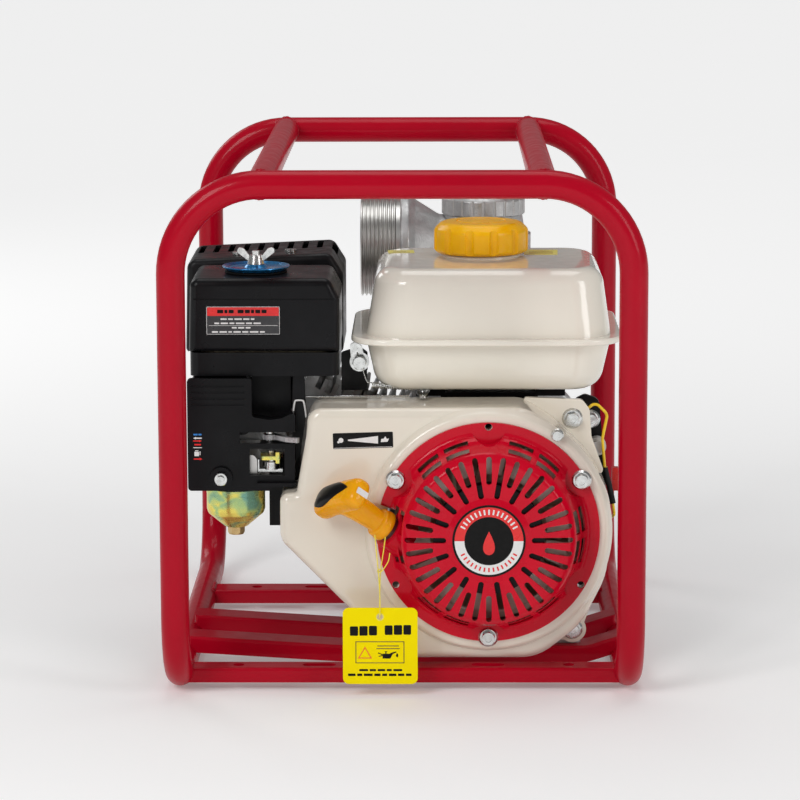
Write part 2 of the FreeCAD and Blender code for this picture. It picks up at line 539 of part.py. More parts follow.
# starter grip
TB = V(0.53, -0.82, 0.2)
TB = TB - GN * TB.dot(GN); TB.normalize()
TC = GP + GN * 46.0
TU = GN.cross(TB); TU.normalize()
def gframe(shape):
    m = FreeCAD.Matrix(TB.x, TU.x, GN.x, TC.x, TB.y, TU.y, GN.y, TC.y, TB.z, TU.z, GN.z, TC.z, 0, 0, 0, 1)
    if m.determinant() < 0:
        m = FreeCAD.Matrix(TB.x, -TU.x, GN.x, TC.x, TB.y, -TU.y, GN.y, TC.y, TB.z, -TU.z, GN.z, TC.z, 0, 0, 0, 1)
    s = shape.copy()
    s.transformShape(m, True)
    return s
bar = prism_yz(rect(-12, 12, -9.5, 12), -29, 26, [8, 8, 11, 11])
bar = fil(bar, 4, lambda e: abs(abs(mid(e).x + 1.5) - 27.5) < 0.01)
neck = Part.makeCone(8.8, 10.8, 34, V(0, 0, -40), V(0, 0, 1))
collar = fil(Part.makeCylinder(12.6, 10.5, V(0, 0, -45.7), V(0, 0, 1)), 2.2, lambda e: e.Length > 20)
grip = fuse([bar, neck, collar]).cut(Part.makeCylinder(3.6, 45, V(0, 0, -48), V(0, 0, 1)))
grip = grip.cut(Part.makeCylinder(6.4, 8, V(0, 0, -10), V(0, 0, 1)))
grip = grip.cut(prism_xy(rect(-25, 15, -8, 8), 8.5, 14, 7))
add("starter_grip", gframe(grip))
add("grip_insert", gframe(prism_xy(rect(-24.7, 14.7, -7.7, 7.7), 8.6, 11.4, 6.8)))

# oil reminder tag on its string
tag = prism_xz(rect(-48.0, 11.5, 11.2, 73.5), -227.0, -226.4, 5)
tag = tag.cut(cyly(-18.4, 66, 2.2, -230, -220))
add("reminder_tag", tag)
# one string: down from the collar, through the tag's hole and back up to the collar
STRING_R = 0.45
STRING = [(-22.3, -219.0, 131.0), (-21.4, -224.0, 121.0), (-19.6, -227.6, 105.0), (-18.3, -228.6, 84.0), (-18.3, -228.6, 70.0), (-18.4, -227.9, 65.2),
          (-18.5, -225.5, 65.2), (-18.6, -224.8, 70.0), (-18.5, -225.2, 84.0), (-18.0, -225.6, 104.0), (-15.4, -222.8, 118.0), (-14.0, -218.9, 129.4)]
def arc_radii(points):
    out = []
    for i in range(1, len(points) - 1):
        p, q, r = V(*points[i - 1]), V(*points[i]), V(*points[i + 1])
        u, v = q - p, r - q
        turn = u.getAngle(v)
        out.append(0.45 * min(u.Length, v.Length) / math.tan(turn / 2))
    return out
SR = arc_radii(STRING)
print("string radii", [round(q, 2) for q in SR])
st_w = bent(STRING, SR)
print("string length", round(st_w.Length, 1))
st_a = sweep(st_w, STRING_R)
add("tag_string", st_a)

# ---------------------------------------------------------------- fuel tank
FL0, FL1 = 273.5, 278.5
def tank_rim(z0, z1):
    return prism_xy(rect(-42.5, 177, -166, 26), z0, z1, 36)
up_o = loft_rect([(-31, 168.5, -156, 17, 276.0, 34), (-21.5, 160.5, -149, 10, 333.0, 30)])
up_o = fil(up_o, 15, lambda e: abs(mid(e).z - 333) < 0.01)
up_i = loft_rect([(-29, 166.5, -154, 15, 275.0, 32), (-19.5, 158.5, -147, 8, 331.0, 28)])
up_i = fil(up_i, 13, lambda e: abs(mid(e).z - 331) < 0.01)
rim_u = tank_rim(276.02, FL1)
rim_u = fil(rim_u, 1.8, lambda e: abs(mid(e).z - FL1) < 0.01)
upper = fuse([up_o.common(box(-300, 300, -300, 300, 276.02, 400)), rim_u]).cut(up_i)
upper = upper.cut(cylz(CAPX, CAPY, 24.0, 320, 345))
lo_o = loft_rect([(-21.5, 159, -147, 9, 233.5, 26), (-31, 168.5, -156, 17, 276.0, 34)])
lo_o = fil(lo_o, 18, lambda e: abs(mid(e).z - 233.5) < 0.01)
lo_i = loft_rect([(-19.5, 157, -145, 7, 235.5, 24), (-29, 166.5, -154, 15, 277.0, 32)])
lo_i = fil(lo_i, 16, lambda e: abs(mid(e).z - 235.5) < 0.01)
rim_l = tank_rim(FL0, 276.0)
rim_l = fil(rim_l, 1.6, lambda e: abs(mid(e).z - FL0) < 0.01)
lower = fuse([lo_o.common(box(-300, 300, -300, 300, 0, 276.0)), rim_l]).cut(lo_i)
add("tank_lower", lower)
neckr = revolve_z([(24.1, 330.0), (33, 331.8), (33, 334.8), (27.5, 335.4), (27.5, 345), (24.1, 345)], CAPX, CAPY, [0, 0, 1.0, 1, 0, 0])
add("tank_upper", fuse([upper, neckr]))
cap_o = revolve_z([(0, 335.8), (36.5, 335.8), (39.2, 338), (39.2, 355), (33, 361), (0, 362.5)], CAPX, CAPY, [0, 0, 2, 5, 8, 0])
for k in range(12):
    a = math.radians(30 * k + 15)
    cap_o = cap_o.cut(cylz(CAPX + 41.2 * math.cos(a), CAPY + 41.2 * math.sin(a), 4.4, 330, 370))
cap_o = cap_o.cut(cylz(CAPX, CAPY, 30.0, 330, 350)).cut(Part.makeTorus(20, 1.2, V(CAPX, CAPY, 361.9), V(0, 0, 1)))
cap_i = cylz(CAPX, CAPY, 22.0, 344.5, 350.5).cut(cylz(CAPX, CAPY, 19.0, 340, 348))
add("fuel_cap", fuse([cap_o, cap_i]))
SEALS_CAP = (cylz(CAPX, CAPY, 28.5, 345.3, 349.9).cut(cylz(CAPX, CAPY, 22.3, 340, 352)))
add("tank_strainer", cylz(CAPX, CAPY, 18.5, 300, 344).cut(cylz(CAPX, CAPY, 17.7, 301, 350)).fuse(cylz(CAPX, CAPY, 23.6, 342.6, 344).cut(cylz(CAPX, CAPY, 17.7, 340, 350))))
TBR = (fuse([box(10, 132, -112, -20, 224.5, 227.5), box(10, 34, -112, -20, 227, 233.4), box(108, 132, -112, -20, 227, 233.4),
                          box(30, 110, -100, -60, 203.5, 225)]).cut(box(36, 104, -98, -62, 200, 223)))

# ---------------------------------------------------------------- air cleaner
AX, AY = -120.4, -110.0
def ac(x0, x1, y0, y1, z0, z1, cx, r, rt):
    s = prism_xz([(x0, z0), (x1, z0), (x1, z1 - 16 if cx else z1), (x1 - cx, z1), (x0 + 1.5, z1)], y0, y1, [2, 2, 6, 8, 7])
    s = fil(s, r, lambda e: abs(mid(e).y - y0) < 0.01 and mid(e).z > z0 + 1 or abs(mid(e).y - y1) < 0.01 and mid(e).z > z0 + 1)
    return s
ao = ac(-173, -51.5, -155, -62, 267.3, 327, 8, 6, 6)
ai = ac(-170.8, -53.7, -152.8, -64.2, 266.0, 324.8, 7, 4, 4)
ao = ao.cut(ai).cut(cylz(AX, AY, 3.4, 300, 340))
groove = box(-180, -40, -158, -60, 310.2, 311.4).cut(box(-172.2, -52.3, -154.2, -62.8, 300, 320))
ao = ao.cut(groove)
add("air_cleaner_cover", ao)
ab = prism_xy(rect(-172.3, -52.2, -154.3, -62.7), 248, 267, 8)
ab = ab.cut(prism_xy(rect(-170, -54.5, -152, -65), 251, 268, 6))
ab = fuse([ab, cylz(AX, AY, 8, 250, 262)]).cut(cylz(AX, AY, 3.05, 240, 300))
ab = ab.cut(cylz(-148, -141, 12, 240, 260))
add("air_cleaner_base", ab)
IF = [cylz(AX, AY, 3.0, 250.5, 344.5)]
add("air_filter_element", prism_xy(rect(-165, -59, -147, -70), 262.3, 306, 14).cut(prism_xy(rect(-157, -67, -139, -78), 262, 307, 8)).fuse(prism_xy(rect(-165, -59, -147, -70), 306, 309, 14)).cut(cylz(AX, AY, 4, 250, 320)))
AGK = (cylz(AX, AY, 24.5, 327.05, 328.6).cut(cylz(AX, AY, 3.4, 320, 340)))
add("air_cleaner_washer", revolve_z([(3.3, 329.6), (10, 328.7), (24, 328.7), (27.6, 331.6), (27.4, 332.8), (23, 330.4), (10, 330.8), (7.5, 333.4), (3.3, 333.4)], AX, AY, [0, 3, 3, 0.5, 0.4, 3, 2, 1, 0]))
wn = fuse([revolve_z([(3.05, 333.8), (7, 333.8), (5.4, 341), (3.05, 341)], AX, AY, 0),
           prism_xz([(AX - 4, 334.6), (AX - 15.5, 343.5), (AX - 14, 347.5), (AX - 10, 346.4), (AX - 4.5, 339.5)], AY - 1.6, AY + 1.6, [0, 2, 2, 3, 0]).cut(cylz(AX, AY, 3.05, 320, 360)),
           prism_xz([(AX + 4, 334.6), (AX + 15.5, 343.5), (AX + 14, 347.5), (AX + 10, 346.4), (AX + 4.5, 339.5)], AY - 1.6, AY + 1.6, [0, 2, 2, 3, 0]).cut(cylz(AX, AY, 3.05, 320, 360))])
add("wing_nut", wn)

# ---------------------------------------------------------------- intake: runner, insulator, carburettor, control panel
BX, BZ, BY = -137.0, 172.0, -140.0
run = fuse([prism_xz([(-160, 157), (-114, 157), (-96, 172), (-96, 196), (-126, 196), (-158, 190)], -118.8, -101.4, [6, 10, 6, 3, 10, 10])])
run = run.cut(cyly(BX, BZ, 10, -120, -109)).cut(cylx(-109, BZ + 4, 7, -140, -104))
add("intake_manifold", group([run, prism_xz(rect(-160, -114, 156, 190), -123.8, -118.9, 6).cut(cyly(BX, BZ, 10, -125, -115))]))
cb = fuse([cyly(BX, BZ, 13, -158.5, -124.0), prism_xz(rect(-157, -117, 160, 184), -128, -124.0, 5), prism_xz(rect(-156, -118.5, 160, 184), -158.5, -154, 5),
           cylz(BX, BY, 15.5, 150.0, 160.0), cylz(BX, BY, 23.9, 149.9, 154.5), box(BX - 14, BX + 14, -150, -130, 154, 176)])
cb = cb.cut(cyly(BX, BZ, 9.5, -160, -118)).cut(cylz(BX, BY, 6, 140, 162))
add("carburettor_body", cb)
bw = revolve_z([(0, 122), (9, 122), (22.6, 133.5), (23.8, 137), (23.8, 149.8), (22.2, 149.8), (22.2, 138), (9, 124.5), (0, 124.5)], BX, BY, [0, 2, 3, 3, 0, 0, 2, 0, 0])
bw = bw.cut(cylz(BX, BY, 4.1, 110, 130))
add("carburettor_bowl", bw)
IF.append(fuse([place(hexprism(12, 6.5), (BX, BY, 121.9), (0, 0, -1)), cylz(BX, BY, 4.0, 121.5, 137)]))
# black elbow housing and control panel
pn_o = [(-174, 156), (-108, 156), (-104, 160.3), (-87.8, 160.3), (-87.2, 219.0), (-91.5, 218.6), (-98, 215.4), (-108, 214.0), (-122, 216.5), (-122, 247.8), (-174, 247.8)]
pn = prism_xz(pn_o, -166, -161, [3, 2, 2, 6, 1.5, 2, 8, 12, 3, 2, 3])
duct = prism_xz(rect(-172, -124, 200, 247.8), -161.2, -120.5, 6).cut(prism_xz(rect(-169, -127, 203, 249), -161, -123, 5))
duct = duct.cut(box(-169, -127, -161, -123, 240, 250))
sk_o = [(-174, 156), (-108, 156), (-104, 160.3), (-87.8, 160.3), (-87.2, 219.0), (-91.5, 218.6), (-98, 215.4), (-108, 214.0), (-122, 216.5), (-174, 216.5)]
sk_i = [(-171.5, 158.5), (-109, 158.5), (-105, 162.8), (-90.2, 162.8), (-89.6, 214.0), (-97.4, 212.8), (-108, 211.4), (-123, 213.9), (-171.5, 213.9)]
skirt = prism_xz(sk_o, -161.2, -148, [3, 2, 2, 6, 1.5, 2, 8, 12, 3, 2]).cut(prism_xz(sk_i, -161, -146, [3, 0, 0, 5, 1, 8, 10, 3, 2]))
lip = prism_xz([(-118, 160.3), (-88, 160.3), (-85.2, 163.4), (-118, 163.4)], -172, -160, [0, 1, 1, 0])
shelf = box(-116, -91, -161.2, -147.5, 191.6, 194.2)
pn = fuse([pn, duct, skirt, lip, shelf, cyly(-147, 167, 9, -170, -160)])
pn = pn.cut(box(-132.0, -90.4, -175, -155, 194.6, 204.0)).cut(box(-91, -80, -175, -146, 194.6, 204.0)).cut(box(-124, -96, -175, -155, 168.5, 190.5))
pn = pn.cut(cyly(-147, 167, 3.2, -180, -150)).cut(cyly(BX, BZ, 9.5, -161.3, -159)).cut(prism_xz(rect(-156.5, -118, 159.5, 184.5), -160.9, -147, 3))
for z in (226, 231, 236, 241):
    pn = pn.cut(box(-171, -128, -167, -165.2, z, z + 1.6))
pn = pn.cut(box(BX - 17, BX + 17, -159, -147, 155, 159))
if len(pn.Solids) > 1:
    pn = sorted(pn.Solids, key=lambda q: q.Volume)[-1]
add("control_panel", pn)
IF.append(nut((-147, -170.05, 167), (0, -1, 0), 3.05, 10, 5))
IF.append(cyly(-147, 167, 3.0, -178, -158.6))
add("intake_fasteners", group(IF))
# choke lever and fuel lever, each on its own pivot behind the panel
LP = [cylz(-108, -153, 3.0, 194.3, 203)]
chk = fuse([cylz(-108, -153, 6, 196.6, 200.4), box(-108, -104, -157, -151, 196.6, 200.4),
            prism_xy([(-110, -157), (-104, -158), (-95, -169), (-85, -174.0), (-83.2, -170.0), (-92, -165.5), (-103, -150)], 196.6, 200.4, 1.5)])
chk = chk.cut(cylz(-108, -153, 3.05, 190, 210))
add("choke_lever", chk)
LP.append(cylz(-107, -152.5, 4.0, 172.5, 187))
fl = fuse([cylz(-107, -152.5, 9, 181.6, 184.6), prism_xy([(-113, -157), (-101, -157), (-99.0, -168), (-115, -168)], 181.6, 184.6, 2), box(-103, -100, -168.5, -166, 179, 188)])
fl = fl.cut(cylz(-107, -152.5, 4.05, 170, 190))
add("fuel_lever", fl)
LP.append(fuse([box(-117.9, -98, -157, -149, 169.8, 172.4), box(-117.9, -116.9, -157, -149, 172, 180), cylz(-107, -152.5, 7.0, 172, 178)]).cut(cylz(-107, -152.5, 4.02, 172.45, 200)))

# ---------------------------------------------------------------- muffler and guard
mf = prism_yz(rect(-30, 52, 256, 318), -172, -64, 24)
mf = fil(mf, 8, lambda e: abs(mid(e).x + 172) < 0.01 or abs(mid(e).x + 64) < 0.01)
mf = mf.cut(prism_yz(rect(-28, 50, 258, 316), -170, -66, 22))
gpt = [(-184, 249), (-51.5, 249), (-51.5, 316), (-62, 333), (-182, 327.5)]
gi = [(-182, 240), (-53.5, 240), (-53.5, 315.2), (-63, 330.8), (-180.2, 325.5)]
gu = prism_xz(gpt, -40, 62, [4, 4, 8, 8, 8])
gu = fil(gu, 5, lambda e: (abs(mid(e).y + 40) < 0.01 or abs(mid(e).y - 62) < 0.01) and mid(e).z > 250)
gu = gu.cut(prism_xz(gi, -38, 60, [3, 3, 6, 6, 6]))
tools = []
for i in range(10):
    x = -176 + 12.6 * i
    tools.append(prism_xy(rect(x, x + 5.0, 5, 52), 320, 340, 2.4))
for i in range(7):
    tools.append(prism_xz(rect(-176 + 17 * i, -165 + 17 * i, 262, 312), 55, 70, 3))
tools += [prism_yz(rect(-20, 45, 262 + 11 * i, 267 + 11 * i), -190, -175, 2.4) for i in range(5)]
tools += [cylz(-140, -18, 2.2, 310, 340), cylz(-96, -18, 2.2, 310, 340)]
gu = gu.cut(tools)
gz = lambda x: 327.5 + (x + 182) * 5.5 / 120.0
add("muffler_guard", group([gu] + [place(fuse([Part.makeCylinder(5, 2.2), Part.makeCylinder(2.0, 6, V(0, 0, 0), V(0, 0, -1))]).cut([box(-4, 4, -0.6, 0.6, 1.2, 3), box(-0.6, 0.6, -4, 4, 1.2, 3)]),
                                 (x, -18, gz(x) + 0.3), (0, 0, 1)) for x in (-140, -96)]))
# exhaust pipe from the rear face of the head up to the muffler
ex0 = lw(160, -45.2, 0)
exh = tube([(ex0.x, ex0.y, ex0.z), (ex0.x, ex0.y + 26, ex0.z), (ex0.x, ex0.y + 26, 255.8)], [14], 12, 10)
add("muffler", group([mf, exh]))

# ---------------------------------------------------------------- governor and throttle control
gb = fuse([box(-51, -30, -120, -117, 231.0, 258), box(-51, -30, -120, -98, 230.8, 233.0), prism_xz([(-51, 250), (-29.5, 246), (-29.5, 262), (-36, 267), (-51, 262)], -120, -117, 2)])
gb = gb.cut(cyly(-36, 255, 4.1, -125, -110))
LP.append(fuse([cyly(-36, 255, 4.0, -128, -113), place(hexprism(10, 5), (-36, -128, 255), (0, -1, 0)), place(hexprism(10, 4), (-36, -116.9, 255), (0, 1, 0))]))
tl = prism_xz([(-42, 248), (-30, 248), (-34, 268), (-40, 271), (-44, 269)], -124.5, -121, 3)
tl = fuse([cyly(-36, 255, 8, -124.5, -121), tl]).cut(cyly(-36, 255, 4.05, -130, -110))
add("throttle_lever", tl)
LP.append(cylz(16, -122, 3.0, 198.0, 232.6))
ga = fuse([cylz(16, -122, 6, 228.6, 231.8), prism_xy([(10, -126), (22, -126), (18, -152), (13, -152)], 229.2, 231.2, 2)]).cut(cylz(16, -122, 3.05, 190, 240))
add("governor_arm", ga)
LP.append(tube([(-83, -143, 229.4), (4.5, -143, 229.4)], [], 0.9))
add("lever_pivots", group(LP))

# ---------------------------------------------------------------- ignition lead, sleeve, stop switch bracket (right side)
sb = prism_xz([(140, 126), (158, 126), (166, 150), (160, 222), (148, 226), (140, 222)], -112, -108, [3, 6, 8, 8, 4, 4]).cut(cyly(153, 205, 3.2, -120, -100))
sb = fuse([sb, box(138, 142, -112, -100, 130, 200)])
add("brackets", group([TBR, gb, sb, fuse([cyly(158, 184, 7.5, -122, -112.1), cyly(158, 184, 5.0, -126, -122)])]))
CB.append(bolt((153, -112.05, 205), (0, 1, 0), 3.0, 12, 10, 6, 8.0))
add("cover_bolts", group(CB))
add("ignition_leads", group([tube([(148, -128, 215), (156, -128, 222), (166, -128, 212), (162, -128, 192), (164, -128, 168)], [5, 6, 9, 9][:3], 1.2),
                             tube([(164, -128, 167.9), (168, -128, 152), (171, -128, 138)], [30], 2.4),
                             tube([(171, -128, 137.9), (172.5, -126, 128), (170, -110, 122)], [6], 1.2),
                             box(170.5, 175.5, -121, -113, 147, 166), ICOIL]))

# ---------------------------------------------------------------- pump
adp = revolve_y([(22, YPTO + 0.2), (56, YPTO + 0.2), (56, YPTO + 10), (37, YPTO + 11), (36, 52), (96, 60), (98, 62), (98, 72), (12, 72), (12, 62), (22, 60)], [0, 3, 3, 6, 10, 4, 1, 0, 0, 0, 0])
for (x, z) in pto_bolts:
    adp = adp.cut(cyly(x, z, 4.2, YPTO, YPTO + 14))
for a in (0, 90, 180, 270):
    w = Part.makeBox(40, 12, 26, V(CX + 24, YPTO + 13, CZ - 13))
    w.rotate(V(CX, 0, CZ), V(0, 1, 0), a)
    adp = adp.cut(w)
PB = [(CX + 91 * math.cos(math.radians(a)), CZ + 91 * math.sin(math.radians(a))) for a in (35, 145, 215, 325)]
for (x, z) in PB:
    adp = adp.cut(cyly(x, z, 4.3, 50, 80))
add("pump_adapter", adp)
PBL = [fuse([cyly(x, z, 3.9, 12, YPTO + 12), place(hexprism(11, 6), (x, YPTO + 11.1, z), (0, 1, 0))]) for (x, z) in pto_bolts]
SEALS.append(ring(CX, CZ, 11.9, 9.6, 63, 75))
# impeller (turns with the crank)
imp = [revolve_y([(9.6, 76), (70, 76), (70, 79), (28, 84), (16, 98), (9.6, 98)], [0, 1, 1, 8, 3, 0])]
for k in range(4):
    b = Part.makeBox(46, 15, 4, V(CX + 24, 77, CZ - 2))
    b.rotate(V(CX + 24, 0, CZ), V(0, 1, 0), 30)
    b.rotate(V(CX, 0, CZ), V(0, 1, 0), 90 * k)
    imp.append(b)
impeller = fuse(imp).common(cyly(CX, CZ, 71, 70, 100)).cut(cyly(CX, CZ, 9.55, 70, 97.5))
add("impeller", impeller)
# volute ring around the impeller
vo = revolve_y([(74, 72.3), (82, 72.3), (82, 106), (30, 106), (30, 96), (74, 96)], [0, 0, 4, 2, 2, 0])
vo = vo.cut(Part.makeBox(30, 18, 40, V(CX - 6, 75, CZ + 60)))
add("volute", vo)
# outer casing: round drum, riser to the discharge head
ca_o = revolve_y([(0, 72.3), (98, 72.3), (98, 80), (92, 84), (92, 176), (80, 188), (0, 190)], [0, 2, 2, 4, 18, 10, 0])
ris = prism_xy([(CX - 44, 88), (CX + 44, 88), (CX + 44, 172), (CX - 44, 172)], CZ + 30, 262, 24)
sfl = cyly(CX, SUCZ, 58, 160, 192)
ca = fuse([ca_o, ris, sfl])
ca = ca.cut(revolve_y([(0, 70), (86, 70), (86, 174), (76, 182), (0, 184)], [0, 0, 12, 6, 0]))
ca = ca.cut(prism_xy([(CX - 38, 94), (CX + 38, 94), (CX + 38, 166), (CX - 38, 166)], CZ + 30, 263, 19))
dct = box(CX - 34, CX + 34, 106.4, 188, 98, 229.8).common(fuse([revolve_y([(0, 70), (90, 70), (90, 178), (0, 187)]), prism_xy(rect(CX - 40, CX + 40, 92, 190), 158, 262)]))
ca = fuse([ca, dct])
ca = ca.cut(box(CX - 30.5, CX + 30.5, 110, 183, 102, 226.4)).cut(cyly(CX, CZ, 28, 100, 115)).cut(cyly(CX, SUCZ, 36, 182.5, 195))
ca = ca.cut(cylx(188, SUCZ + 31.0, 2.03, CX - 22, CX + 22))
for (x, z) in PB:
    ca = ca.cut(cyly(x, z, 4.3, 70, 92))
    ca = ca.cut(cyly(x, z, 9.5, 84.2, 200))
ca = ca.cut(cylz(CX, 130, 7.2, 20, 60))
SB = [(CX + 51.3 * math.cos(math.radians(a)), SUCZ + 51.3 * math.sin(math.radians(a))) for a in (45, 135, 225, 315)]
for (x, z) in SB:
    ca = ca.cut(cyly(x, z, 3.3, 180, 195))
DB = [(CX + 41 * sx, PORTY + 39 * sy) for sx in (-1, 1) for sy in (-1, 1)]
flg = prism_xy([(CX - 50, 82), (CX + 50, 82), (CX + 50, 178), (CX - 50, 178)], 250.0, 262.0, 26).cut(prism_xy([(CX - 38, 94), (CX + 38, 94), (CX + 38, 166), (CX - 38, 166)], 240, 263, 19))
ca = fuse([ca, flg])
for (x, y) in DB:
    ca = ca.cut(cylz(x, y, 3.3, 249, 270))
if len(ca.Solids) > 1:
    ca = sorted(ca.Solids, key=lambda q: q.Volume)[-1]
add("pump_casing", ca)
for (x, z) in PB:
    PBL.append(fuse([cyly(x, z, 4.0, 51, 92), place(hexprism(13, 6.4), (x, 57.6, z), (0, -1, 0)), place(hexprism(13, 6.4), (x, 84.25, z), (0, 1, 0))]))
PBL.append(fuse([place(hexprism(17, 8), (CX, 130, 35.9), (0, 0, -1)), cylz(CX, 130, 7.1, 35.8, 44)]))
# discharge head with hose spigot to -X and filler neck on top
hz = 262.3
dh = fuse([prism_xy([(CX - 50, 82), (CX + 50, 82), (CX + 50, 178), (CX - 50, 178)], hz, hz + 10, 26),
           prism_xy([(CX - 42, 90), (CX + 42, 90), (CX + 42, 170), (CX - 42, 170)], hz + 8, 330, 38),
           revolve_z([(0, 320), (41, 320), (36, 336), (34.5, 346.8), (0, 346.8)], CX, PORTY, [0, 6, 8, 0, 0]),
           revolve_x([(0, -5), (PORT_R + 3, -5), (PORT_R + 3, 2), (41.5, 8), (28.3, 29), (28.3, CX), (0, CX)], PORTY, PORTZ, [0, 2, 3, 8, 10, 0, 0])])
sp = [(0, -40), (PORT_R - 1.2, -40)]
z = -40.0
n = 9
pitch = 3.6
for k in range(n):
    sp.append((PORT_R - 0.1, z + 0.9)); sp.append((PORT_R - 0.1, z + 1.5)); sp.append((PORT_R - 2.0, z + 2.5)); sp.append((PORT_R - 2.0, z + pitch))
    z += pitch
sp += [(PORT_R - 2, -5), (0, -5)]
spig = revolve_x(sp, PORTY, PORTZ, 0)
dh = fuse([dh, spig])
dh = dh.cut(revolve_x([(0, -45), (BORE_R, -45), (BORE_R, 4), (24.5, 26), (24.5, CX), (0, CX)], PORTY, PORTZ, 0)).cut(prism_xy([(CX - 36, 96), (CX + 36, 96), (CX + 36, 164), (CX - 36, 164)], hz - 1, 324, 32))
dh = dh.cut(cylz(CX, PORTY, 28, 300, 360))
for (x, y) in DB:
    dh = dh.cut(cylz(x, y, 3.3, hz - 1, hz + 12))
    dh = dh.cut(cylz(x, y, 8.0, hz + 10.05, hz + 26))
add("discharge_head", dh)
PBL += [bolt((x, y, hz + 10.1), (0, 0, -1), 3.0, 28, 10, 6, 7.0, 9) for (x, y) in DB]
SEALS.append(prism_xy([(CX - 50, 82), (CX + 50, 82), (CX + 50, 178), (CX - 50, 178)], 262.02, 262.28, 26).cut(
    prism_xy([(CX - 38, 94), (CX + 38, 94), (CX + 38, 166), (CX - 38, 166)], 260, 265, 19)).cut([cylz(x, y, 3.3, 240, 270) for (x, y) in DB]))
fcap = revolve_z([(0, 347.2), (36.7, 347.2), (36.7, 361), (33, 364), (0, 366)], CX, PORTY, [0, 1.5, 3, 4, 0])
for k in range(24):
    a = math.radians(15 * k)
    fcap = fcap.cut(cylz(CX + 37.6 * math.cos(a), PORTY + 37.6 * math.sin(a), 1.6, 340, 370))
fcap = fuse([fcap, prism_xy(rect(CX - 24, CX + 24, PORTY - 5, PORTY + 5), 362, 374, 4.9), cylz(CX, PORTY, 27.9, 336, 348).cut(cylz(CX, PORTY, 24, 330, 346))])
add("filler_cap", fcap)
# suction flange with spigot to +Y and hinged check valve
su = fuse([cyly(CX, SUCZ, 58, 195.0, 203)])
sp = [(0, 203), (PORT_R - 2.0, 203)]
y = 204.0
for k in range(7):
    sp.append((PORT_R - 2.0, y)); sp.append((PORT_R - 0.1, y + 0.9)); sp.append((PORT_R - 0.1, y + 1.5)); sp.append((PORT_R - 2.0, y + 2.5))
    y += 3.6
sp += [(PORT_R - 2.0, 229), (PORT_R - 3, 230), (0, 230)]
su = fuse([su, revolve_y([(a, b) for (a, b) in sp], 0, CX, SUCZ)])
su = su.cut(cyly(CX, SUCZ, BORE_R, 190, 240))
for (x, z) in SB:
    su = su.cut(cyly(x, z, 3.3, 190, 210))
add("suction_flange", su)
SEALS.append(ring(CX, SUCZ, 58, 36.5, 192.1, 194.9).cut([cyly(x, z, 3.3, 190, 210) for (x, z) in SB]))
PBL += [bolt((x, 203.05, z), (0, -1, 0), 3.0, 18, 8.8, 5.5, 5.6, 9) for (x, z) in SB]
add("seals", group(SEALS))
# check valve flap: hinge pin across the top inside the casing mouth
hzv = SUCZ + 31.0
flap = fuse([cyly(CX, SUCZ - 2, 27, 186.5, 189.5), cyly(CX, SUCZ - 2, 18, 183.5, 186.5), cylx(188, hzv, 3.2, CX - 9, CX + 9), box(CX - 9, CX + 9, 186.5, 189.5, SUCZ + 14, hzv)])
flap = flap.cut(cylx(188, hzv, 2.05, CX - 20, CX + 20))
add("check_flap", flap)
PBL.append(cylx(188, hzv, 2.0, CX - 20.0, CX + 20.0))
add("pump_bolts", group(PBL))

for n_, s_ in NODES.items():
    s_.exportStep("parts/%s.step" % n_)
print(len(NODES), "nodes")
bb = None
for n_, s_ in NODES.items():
    b = s_.BoundBox
    if bb is None:
        bb = FreeCAD.BoundBox(b)
    else:
        bb.add(b)
print("bbox", bb)
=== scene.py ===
import bpy, bmesh, math, json
import numpy as np
from mathutils import Vector, Matrix

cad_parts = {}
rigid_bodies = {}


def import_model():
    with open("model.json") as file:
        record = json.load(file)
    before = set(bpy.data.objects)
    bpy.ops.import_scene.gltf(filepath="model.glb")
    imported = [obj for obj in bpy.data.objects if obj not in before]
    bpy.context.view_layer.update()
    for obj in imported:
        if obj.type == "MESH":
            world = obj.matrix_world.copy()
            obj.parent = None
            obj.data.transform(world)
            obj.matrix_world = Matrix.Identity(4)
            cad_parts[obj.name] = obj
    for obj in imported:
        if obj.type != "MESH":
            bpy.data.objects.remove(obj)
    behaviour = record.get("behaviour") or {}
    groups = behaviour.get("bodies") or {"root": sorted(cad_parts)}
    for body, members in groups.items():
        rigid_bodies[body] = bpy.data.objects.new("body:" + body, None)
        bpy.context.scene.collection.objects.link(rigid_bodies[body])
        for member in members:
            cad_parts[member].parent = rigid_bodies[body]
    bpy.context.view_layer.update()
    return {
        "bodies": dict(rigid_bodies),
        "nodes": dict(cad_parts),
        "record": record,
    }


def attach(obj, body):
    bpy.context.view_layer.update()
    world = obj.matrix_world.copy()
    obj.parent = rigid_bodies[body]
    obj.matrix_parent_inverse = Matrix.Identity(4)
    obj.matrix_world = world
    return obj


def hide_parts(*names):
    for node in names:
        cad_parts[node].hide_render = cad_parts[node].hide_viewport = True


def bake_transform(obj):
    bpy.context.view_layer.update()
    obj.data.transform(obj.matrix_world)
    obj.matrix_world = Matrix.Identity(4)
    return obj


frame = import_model()
N = frame["nodes"]
sc = bpy.context.scene
MM = 0.001


def P(x, y, z):
    return Vector((x * MM, y * MM, z * MM))


